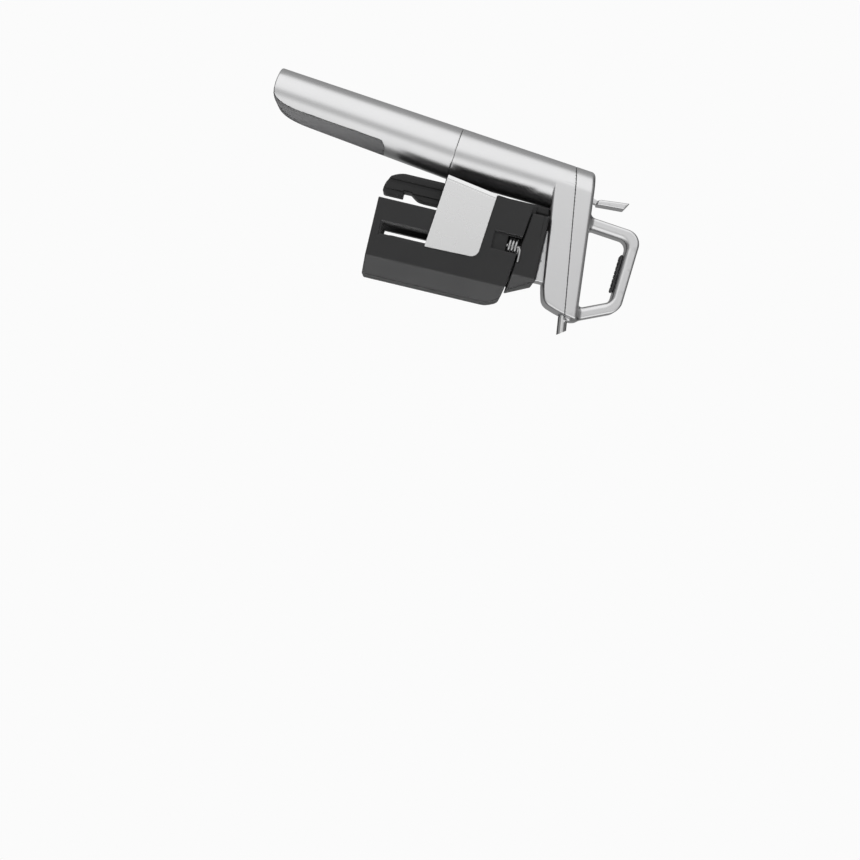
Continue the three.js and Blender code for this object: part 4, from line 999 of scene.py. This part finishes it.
def moulded_material(name, colour, roughness, size=2500.0, depth=0.25, wear=0.6):
    """Moulded plastic or rubber with a dull grain, rubbed patches and paler edges."""
    made, tree, shader = blank_material(name, 0.0)
    grain = placed_group(tree, "moulded", {"Size": size})
    edge = placed_group(tree, "edge", {"Width": 0.0003, "Strength": wear})
    smudges = placed_group(tree, "smudge", {"Roughness": roughness, "Spread": 0.12})
    face = mixed(tree, grain["Patches"], shade(colour, 0.8), shade(colour, 1.25))
    worn = mixed(tree, edge["Edge"], face, shade(colour, 2.2))
    bump = {"Strength": depth, "Distance": 0.00003, "Height": grain["Height"]}
    join_shader(tree, shader, worn, smudges["Roughness"], bump)
    return made


def material(name):
    """One material for each finish, made when it is first asked for."""
    colours = bpy.context.scene.pourer_colours
    makers = {
        "brushed_metal": lambda: metal_material(name, colours.metal, 0.3, -TUBE_TILT),
        "plate_metal": lambda: metal_material(name, colours.plate, 0.27, 0.0, contrast=0.03),
        "polished_steel": lambda: metal_material(
            name, colours.polished, 0.13, depth=0.15, contrast=0.02, spread=0.06,
        ),
        "spring_steel": lambda: metal_material(name, colours.steel, 0.3, contrast=0.08),
        "capsule_steel": lambda: metal_material(name, colours.steel, 0.36, -TUBE_TILT, contrast=0.06),
        "brass": lambda: metal_material(name, colours.brass, 0.32, contrast=0.08),
        "black_plastic": lambda: moulded_material(name, colours.plastic, 0.42),
        "grey_plastic": lambda: moulded_material(name, colours.inner_plastic, 0.48, wear=0.2),
        "soft_grip": lambda: moulded_material(name, colours.grip, 0.55, size=1800.0, depth=0.5, wear=0.3),
        "rubber": lambda: moulded_material(name, colours.rubber, 0.62, size=1500.0, depth=0.4, wear=0.2),
    }
    if name not in MATERIALS:
        MATERIALS[name] = makers[name]()
    return MATERIALS[name]


def finish_piece(piece, body, slot, *nodes):
    """Rides a piece on its body, in the finish named by its slot and in place of the frame's nodes."""
    piece.data.materials.clear()
    piece.data.materials.append(material(slot))
    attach(piece, body)
    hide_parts(*nodes)


# ---------------------------------------------------------------- settings
def colour(name, description, value):
    return bpy.props.FloatVectorProperty(
        name=name,
        description=description,
        subtype="COLOR",
        size=4,
        min=0.0,
        max=1.0,
        default=value,
    )


def length(name, description, value):
    return bpy.props.FloatProperty(
        name=name,
        description=description,
        subtype="DISTANCE",
        unit="LENGTH",
        min=0.0,
        precision=4,
        default=value,
    )


class PourerSizes(bpy.types.PropertyGroup):
    mesh_step: length("Mesh step", "Spacing of the points on the moulded and cast pieces", 0.0005)
    rib_pitch: length("Rib pitch", "Spacing of the grip ribs under the loop", 0.0025)
    wire: length("Spring wire", "Radius of the jaw springs' wire", COIL_WIRE * MM)
    floor_drop: length("Floor distance", "From the middle of the object down to the floor", 0.42)


class PourerColours(bpy.types.PropertyGroup):
    metal: colour("Metal", "Tube, stem, cover, cup and trigger", (0.76, 0.76, 0.765, 1))
    plate: colour("Side plates", "Plates on the jaws", (0.82, 0.82, 0.82, 1))
    polished: colour("Spout", "Spout and needle", (0.84, 0.84, 0.84, 1))
    steel: colour("Steel", "Springs, pins, screws and capsule", (0.55, 0.55, 0.55, 1))
    brass: colour("Brass", "Inner gas fittings", (0.72, 0.5, 0.22, 1))
    plastic: colour("Black plastic", "Jaws, carriage and rail", (0.014, 0.014, 0.0145, 1))
    inner_plastic: colour("Grey plastic", "Bush and rail liners", (0.1, 0.1, 0.105, 1))
    grip: colour("Soft grip", "Inlay of the cup and pad of the loop", (0.04, 0.04, 0.041, 1))
    rubber: colour("Rubber", "Neck pads, seals and cushion", (0.012, 0.012, 0.012, 1))


def step_mm(share=1.0):
    return bpy.context.scene.pourer_sizes.mesh_step / MM * share


# ---------------------------------------------------------------- operators
class PieceOperator:
    """What every operator here shares: execute calls the operator's own build."""

    bl_options = {"REGISTER", "UNDO"}

    def execute(self, context):
        self.build()
        return {"FINISHED"}


class POURER_OT_head(PieceOperator, bpy.types.Operator):
    """Tube and stem, and the cover with its finger loop"""

    bl_idname = "pourer.head"
    bl_label = "Stem, tube and cover"

    def build(self):
        shell_low, shell_high = (-14.2, -15.4, -0.6), (71.5, 15.4, 89)
        shell = cast("Tube_And_Stem", shell_field, shell_low, shell_high, step_mm(), tube=True)
        finish_piece(shell, "body", "brushed_metal", "body_shell")
        cover_low, cover_high = (-14.2, -14.2, 65), (76, 14.2, 119)
        cover = cast("Cover", cover_field, cover_low, cover_high, step_mm(), tube=True)
        finish_piece(cover, "body", "brushed_metal", "top_cover")


class POURER_OT_loop_pad(PieceOperator, bpy.types.Operator):
    """Ribbed pad on the inner side of the finger loop"""

    bl_idname = "pourer.loop_pad"
    bl_label = "Loop pad"

    def build(self):
        pad = cast("Loop_Pad", pad_field, (-21.5, -6, 74), (3, 6, 81), step_mm(0.6))
        finish_piece(pad, "body", "soft_grip", "loop_grip_pad")


class POURER_OT_cup(PieceOperator, bpy.types.Operator):
    """Hollow cup that holds the gas capsule, and its grip inlay"""

    bl_idname = "pourer.cup"
    bl_label = "Cup and inlay"

    def build(self):
        low, high = (-14.2, -15.4, -CUP_LENGTH - 0.5), (16.8, 15.4, 0.5)
        cup = cast("Cup", cup_field, low, high, step_mm(), tube=True)
        finish_piece(cup, "cup", "brushed_metal", "gas_cup")
        inlay = cast("Cup_Inlay", inlay_field, low, (16.8, 15.4, -INLAY_START + 1), step_mm(0.8), tube=True)
        finish_piece(inlay, "cup", "soft_grip", "cup_grip_inlay")


class POURER_OT_rail(PieceOperator, bpy.types.Operator):
    """Guide rail that the clamp slides on"""

    bl_idname = "pourer.rail"
    bl_label = "Guide rail"

    def build(self):
        rail = cast("Rail", rail_field, RAIL_LOW, RAIL_HIGH, step_mm())
        finish_piece(rail, "body", "black_plastic", "guide_rail")


class POURER_OT_carriage(PieceOperator, bpy.types.Operator):
    """Carriage that carries the two jaws along the rail"""

    bl_idname = "pourer.carriage"
    bl_label = "Clamp carriage"

    def build(self):
        carriage = cast("Carriage", carriage_field, CARRIAGE_LOW, CARRIAGE_HIGH, step_mm(0.84))
        finish_piece(carriage, "clamp", "black_plastic", "clamp_carriage")


class POURER_OT_jaws(PieceOperator, bpy.types.Operator):
    """The two jaws, their neck pads and their side plates"""

    bl_idname = "pourer.jaws"
    bl_label = "Jaws, pads and plates"

    def build(self):
        low, high = (JAW_LOW[0] - 0.5, 0, JAW_LOW[2]), (JAW_HIGH[0], JAW_HIGH[1], JAW_HIGH[2] + 2)
        pad_low, pad_high = (-4, 2, PAD_LOW[2]), (16, 16, PAD_HIGH[2])
        plate_low, plate_high = (-39.5, 19.2, -32.5), (4, 23.8, 2.2)
        for side, sign in SIDES:
            mirror = sign < 0
            body = f"{side}_jaw"
            label = side.capitalize()
            jaw = cast(f"Jaw_{label}", jaw_field, low, high, step_mm(), mirror=mirror)
            finish_piece(jaw, body, "black_plastic", f"jaw_{side}")
            pad = cast(f"Neck_Pad_{label}", neck_pad_field, pad_low, pad_high, step_mm(), mirror=mirror)
            finish_piece(pad, body, "rubber", f"jaw_pad_{side}")
            step = step_mm(0.5)
            plate = cast(f"Side_Plate_{label}", plate_field, plate_low, plate_high, step, mirror=mirror, merge=0)
            finish_piece(plate, body, "plate_metal", f"side_plate_{side}")


class POURER_OT_jaw_springs(PieceOperator, bpy.types.Operator):
    """Wire springs round the hinge pins that close the jaws"""

    bl_idname = "pourer.jaw_springs"
    bl_label = "Jaw springs"

    def build(self):
        wire = bpy.context.scene.pourer_sizes.wire / MM
        legs = ((1.6, 0.3, 0.9), (4.0, 0.4, 1.1), (7.2, 0.4, 1.1), (7.9, 0.4, 0.9), (7.9, 0.4, 0.4))
        for side, sign in SIDES:
            path = []
            for k in range(COIL_POINTS):
                share = k / (COIL_POINTS - 1)
                angle = math.pi / 2 - 2 * math.pi * COIL_TURNS * (1 - share)
                path.append((
                    HINGE_X + COIL_RADIUS * math.cos(angle),
                    HINGE_Y + COIL_RADIUS * math.sin(angle),
                    COIL_LOW + (COIL_HIGH - COIL_LOW) * share,
                ))
            x, y, z = path[-1]
            path += [(x + out, y + aside, z + up) for out, aside, up in legs]
            path = [(x, sign * y, z) for x, y, z in path]
            spring = sweep(f"Jaw_Spring_{side.capitalize()}", path, wire)
            finish_piece(spring, "clamp", "spring_steel", f"jaw_spring_{side}")


class POURER_OT_pins(PieceOperator, bpy.types.Operator):
    """Hinge pins with domed heads"""

    bl_idname = "pourer.pins"
    bl_label = "Hinge pins"

    def build(self):
        for side, sign in SIDES:
            low, high = box_mm(f"hinge_pin_{side}")
            head = (high[0] - low[0]) / 2
            profile = [
                (0, low[2]), (head * 0.85, low[2]), (head, low[2] + 0.25), (head, low[2] + 0.5),
                (PIN_RADIUS, low[2] + 0.5), (PIN_RADIUS, high[2] - 1.6), (head, high[2] - 1.6),
                (head, high[2] - 0.6), (head * 0.8, high[2] - 0.15), (head * 0.4, high[2]),
                (head * 0.4, high[2] - 0.5), (0, high[2] - 0.5),
            ]
            pin = turned(f"Hinge_Pin_{side.capitalize()}", profile, 48, (HINGE_X, sign * HINGE_Y))
            finish_piece(pin, "clamp", "spring_steel", f"hinge_pin_{side}")


class POURER_OT_trigger(PieceOperator, bpy.types.Operator):
    """Thumb trigger with ribbed paddle"""

    bl_idname = "pourer.trigger"
    bl_label = "Trigger"

    def build(self):
        low, high = box_mm("trigger")
        lever = cast("Trigger", lever_field, low - 0.3, high + 0.3, step_mm(0.6))
        finish_piece(lever, "trigger_lever", "brushed_metal", "trigger")


class POURER_OT_spout(PieceOperator, bpy.types.Operator):
    """Pour spout with its slanted end"""

    bl_idname = "pourer.spout"
    bl_label = "Spout"

    def build(self):
        low, high = box_mm("spout")
        spout = cast("Spout", spout_field, low - 0.5, high + (1.5, 0.5, 0.5), step_mm(0.56))
        finish_piece(spout, "body", "polished_steel", "spout")


class POURER_OT_needle(PieceOperator, bpy.types.Operator):
    """Needle with its conical point, and the stop that rests on the bottle"""

    bl_idname = "pourer.needle"
    bl_label = "Needle and stop"

    def build(self):
        low, high = box_mm("needle")
        radius = high[0]
        needle = turned("Needle", [
            (0, low[2]), (radius * 0.25, low[2] + 0.6), (radius * 0.85, low[2] + 3.2), (radius, low[2] + 4.4),
            (radius, high[2] - 0.2), (radius * 0.9, high[2]), (0, high[2]),
        ], 48)
        finish_piece(needle, "body", "polished_steel", "needle")
        low, high = box_mm("neck_stop")
        bore = GUIDE_HOLE + 0.2
        stop = turned("Neck_Stop", soften([
            (bore, low[2]), (high[0], low[2]), (high[0], high[2]), (bore, high[2]),
        ], 0.4), 96)
        finish_piece(stop, "clamp", "rubber", "neck_stop")


class POURER_OT_inner(PieceOperator, bpy.types.Operator):
    """Finishes on the pieces that keep the frame's own shape"""

    bl_idname = "pourer.inner"
    bl_label = "Inner pieces"

    def build(self):
        slots = {name: shown.data.materials[0].name.removeprefix("frame_") for name, shown in frame["nodes"].items()}
        for name, shown in frame["nodes"].items():
            if shown.hide_render:
                continue
            shown.data.materials.clear()
            shown.data.materials.append(material(slots[name]))
            edge = shown.modifiers.new("Edge", "BEVEL")
            edge.width = 0.00012
            edge.segments = 2
            edge.limit_method = "ANGLE"
            edge.angle_limit = math.radians(40)


class POURER_OT_stage(PieceOperator, bpy.types.Operator):
    """Camera, sky and floor"""

    bl_idname = "pourer.stage"
    bl_label = "Stage"

    def build(self):
        build_camera()
        build_sky()
        build_floor()


# ---------------------------------------------------------------- stage
def build_camera():
    data = bpy.data.cameras.new("Camera")
    data.sensor_width = SENSOR
    data.lens = SENSOR * VIEW_DISTANCE / VIEW_WIDTH
    camera = bpy.data.objects.new("Camera", data)
    turn = Matrix((VIEW_RIGHT, VIEW_UP, VIEW_NEAR)).transposed()
    camera.matrix_world = Matrix.Translation(VIEW_CENTRE + VIEW_NEAR * VIEW_DISTANCE) @ turn.to_4x4()
    bpy.context.scene.collection.objects.link(camera)
    bpy.context.scene.camera = camera


def level_ramp(tree, share, levels):
    """A soft ramp through the levels; share is the angle's place between the first and the last."""
    ramp = node(tree, "ShaderNodeValToRGB", {"Fac": share})
    ramp.color_ramp.interpolation = "EASE"
    stops = ramp.color_ramp.elements
    stops.remove(stops[1])
    stops[0].position = 0.0
    stops[0].color = (levels[0][1],) * 3 + (1,)
    for degrees, level in levels[1:]:
        stops.new((degrees + 180) / 360).color = (level, level, level, 1)
    return ramp.outputs[0]


def build_sky():
    """A soft studio: levels of light by the direction's angle from the camera up over the object."""
    world = bpy.data.worlds.new("Studio")
    bpy.context.scene.world = world
    world.use_nodes = True
    tree = world.node_tree
    tree.nodes.clear()
    direction = node(tree, "ShaderNodeTexCoord").outputs["Generated"]
    up = node(tree, "ShaderNodeVectorMath", {0: direction, 1: VIEW_UP}, operation="DOT_PRODUCT")
    near = node(tree, "ShaderNodeVectorMath", {0: direction, 1: VIEW_NEAR}, operation="DOT_PRODUCT")
    angle = node(tree, "ShaderNodeMath", {0: up.outputs["Value"], 1: near.outputs["Value"]}, operation="ARCTAN2")
    share = node(tree, "ShaderNodeMapRange", {"Value": angle.outputs[0], "From Min": -math.pi, "From Max": math.pi})
    glossy = level_ramp(tree, share.outputs[0], GLOSSY_LEVELS)
    diffuse = level_ramp(tree, share.outputs[0], DIFFUSE_LEVELS)
    path = node(tree, "ShaderNodeLightPath")
    levels = mixed(tree, path.outputs["Is Diffuse Ray"], glossy, diffuse)
    along = node(tree, "ShaderNodeVectorMath", {0: direction, 1: VIEW_RIGHT}, operation="DOT_PRODUCT")
    aside = node(tree, "ShaderNodeMath", {0: along.outputs["Value"]}, operation="ABSOLUTE")
    dimmed = node(tree, "ShaderNodeMapRange", {
        "Value": aside.outputs[0], "From Min": 0.42, "From Max": 0.72, "To Min": 1.0, "To Max": 0.25,
    })
    soft = node(tree, "ShaderNodeBackground", {"Color": levels, "Strength": dimmed.outputs[0]})
    plain = node(tree, "ShaderNodeBackground", {"Color": PALE, "Strength": 1.0})
    seen = path.outputs["Is Camera Ray"]
    mix = node(tree, "ShaderNodeMixShader", {0: seen, 1: soft.outputs[0], 2: plain.outputs[0]})
    node(tree, "ShaderNodeOutputWorld", {"Surface": mix.outputs[0]})


def build_floor():
    """Pale paper that only the camera sees, square to the view."""
    drop = bpy.context.scene.pourer_sizes.floor_drop
    size = FLOOR_HALF_SIZE
    mesh = bpy.data.meshes.new("Floor")
    corners = [(-size, -size, 0), (size, -size, 0), (size, size, 0), (-size, size, 0)]
    mesh.from_pydata(corners, [], [(0, 1, 2, 3)])
    floor = bpy.data.objects.new("Floor", mesh)
    turn = Matrix((VIEW_RIGHT, -VIEW_NEAR, VIEW_UP)).transposed()
    floor.matrix_world = Matrix.Translation(VIEW_CENTRE - VIEW_UP * drop) @ turn.to_4x4()
    bpy.context.scene.collection.objects.link(floor)
    made = bpy.data.materials.new("floor_paper")
    made.use_nodes = True
    tree = made.node_tree
    tree.nodes.remove(tree.nodes["Principled BSDF"])
    glow = node(tree, "ShaderNodeEmission", {"Color": PALE, "Strength": 1.0})
    clear = node(tree, "ShaderNodeBsdfTransparent")
    seen = node(tree, "ShaderNodeLightPath").outputs["Is Camera Ray"]
    back = node(tree, "ShaderNodeNewGeometry").outputs["Backfacing"]
    paper = node(tree, "ShaderNodeMixShader", {0: seen, 1: clear.outputs[0], 2: glow.outputs[0]})
    sides = node(tree, "ShaderNodeMixShader", {0: back, 1: paper.outputs[0], 2: clear.outputs[0]})
    tree.links.new(sides.outputs[0], tree.nodes["Material Output"].inputs["Surface"])
    floor.data.materials.append(made)


# ---------------------------------------------------------------- add-on
OPERATORS = (
    POURER_OT_head,
    POURER_OT_loop_pad,
    POURER_OT_cup,
    POURER_OT_rail,
    POURER_OT_carriage,
    POURER_OT_jaws,
    POURER_OT_jaw_springs,
    POURER_OT_pins,
    POURER_OT_trigger,
    POURER_OT_spout,
    POURER_OT_needle,
    POURER_OT_inner,
    POURER_OT_stage,
)


class POURER_PT_panel(bpy.types.Panel):
    """Lists the pourer's operators and settings"""

    bl_label = "Wine pourer"
    bl_idname = "POURER_PT_panel"
    bl_space_type = "VIEW_3D"
    bl_region_type = "UI"
    bl_category = "Pourer"

    def draw(self, context):
        layout = self.layout
        for operator in OPERATORS:
            layout.operator(operator.bl_idname)
        for settings in (context.scene.pourer_sizes, context.scene.pourer_colours):
            for name in settings.bl_rna.properties.keys():
                if name not in ("rna_type", "name"):
                    layout.prop(settings, name)


CLASSES = (PourerSizes, PourerColours, *OPERATORS, POURER_PT_panel)


def register():
    for item in CLASSES:
        bpy.utils.register_class(item)
    bpy.types.Scene.pourer_sizes = bpy.props.PointerProperty(type=PourerSizes)
    bpy.types.Scene.pourer_colours = bpy.props.PointerProperty(type=PourerColours)


def unregister():
    del bpy.types.Scene.pourer_colours
    del bpy.types.Scene.pourer_sizes
    for item in reversed(CLASSES):
        bpy.utils.unregister_class(item)


def visual_box():
    bpy.context.view_layer.update()
    lows, highs = [], []
    for shown in bpy.context.scene.objects:
        if shown.type != "MESH" or shown.hide_render or shown.name == "Floor":
            continue
        points = np.array([shown.matrix_world @ Vector(corner) for corner in shown.bound_box])
        lows.append(points.min(0))
        highs.append(points.max(0))
    return [np.min(lows, 0).tolist(), np.max(highs, 0).tolist()]


def main():
    for imported in list(bpy.data.materials):
        imported.name = "frame_" + imported.name
    register()
    bpy.context.scene.view_settings.view_transform = "Standard"
    for operator in OPERATORS:
        group, name = operator.bl_idname.split(".")
        getattr(getattr(bpy.ops, group), name)()
    {"cad": CAD_BOX, "visual": visual_box()}


if __name__ == "__main__":
    main()
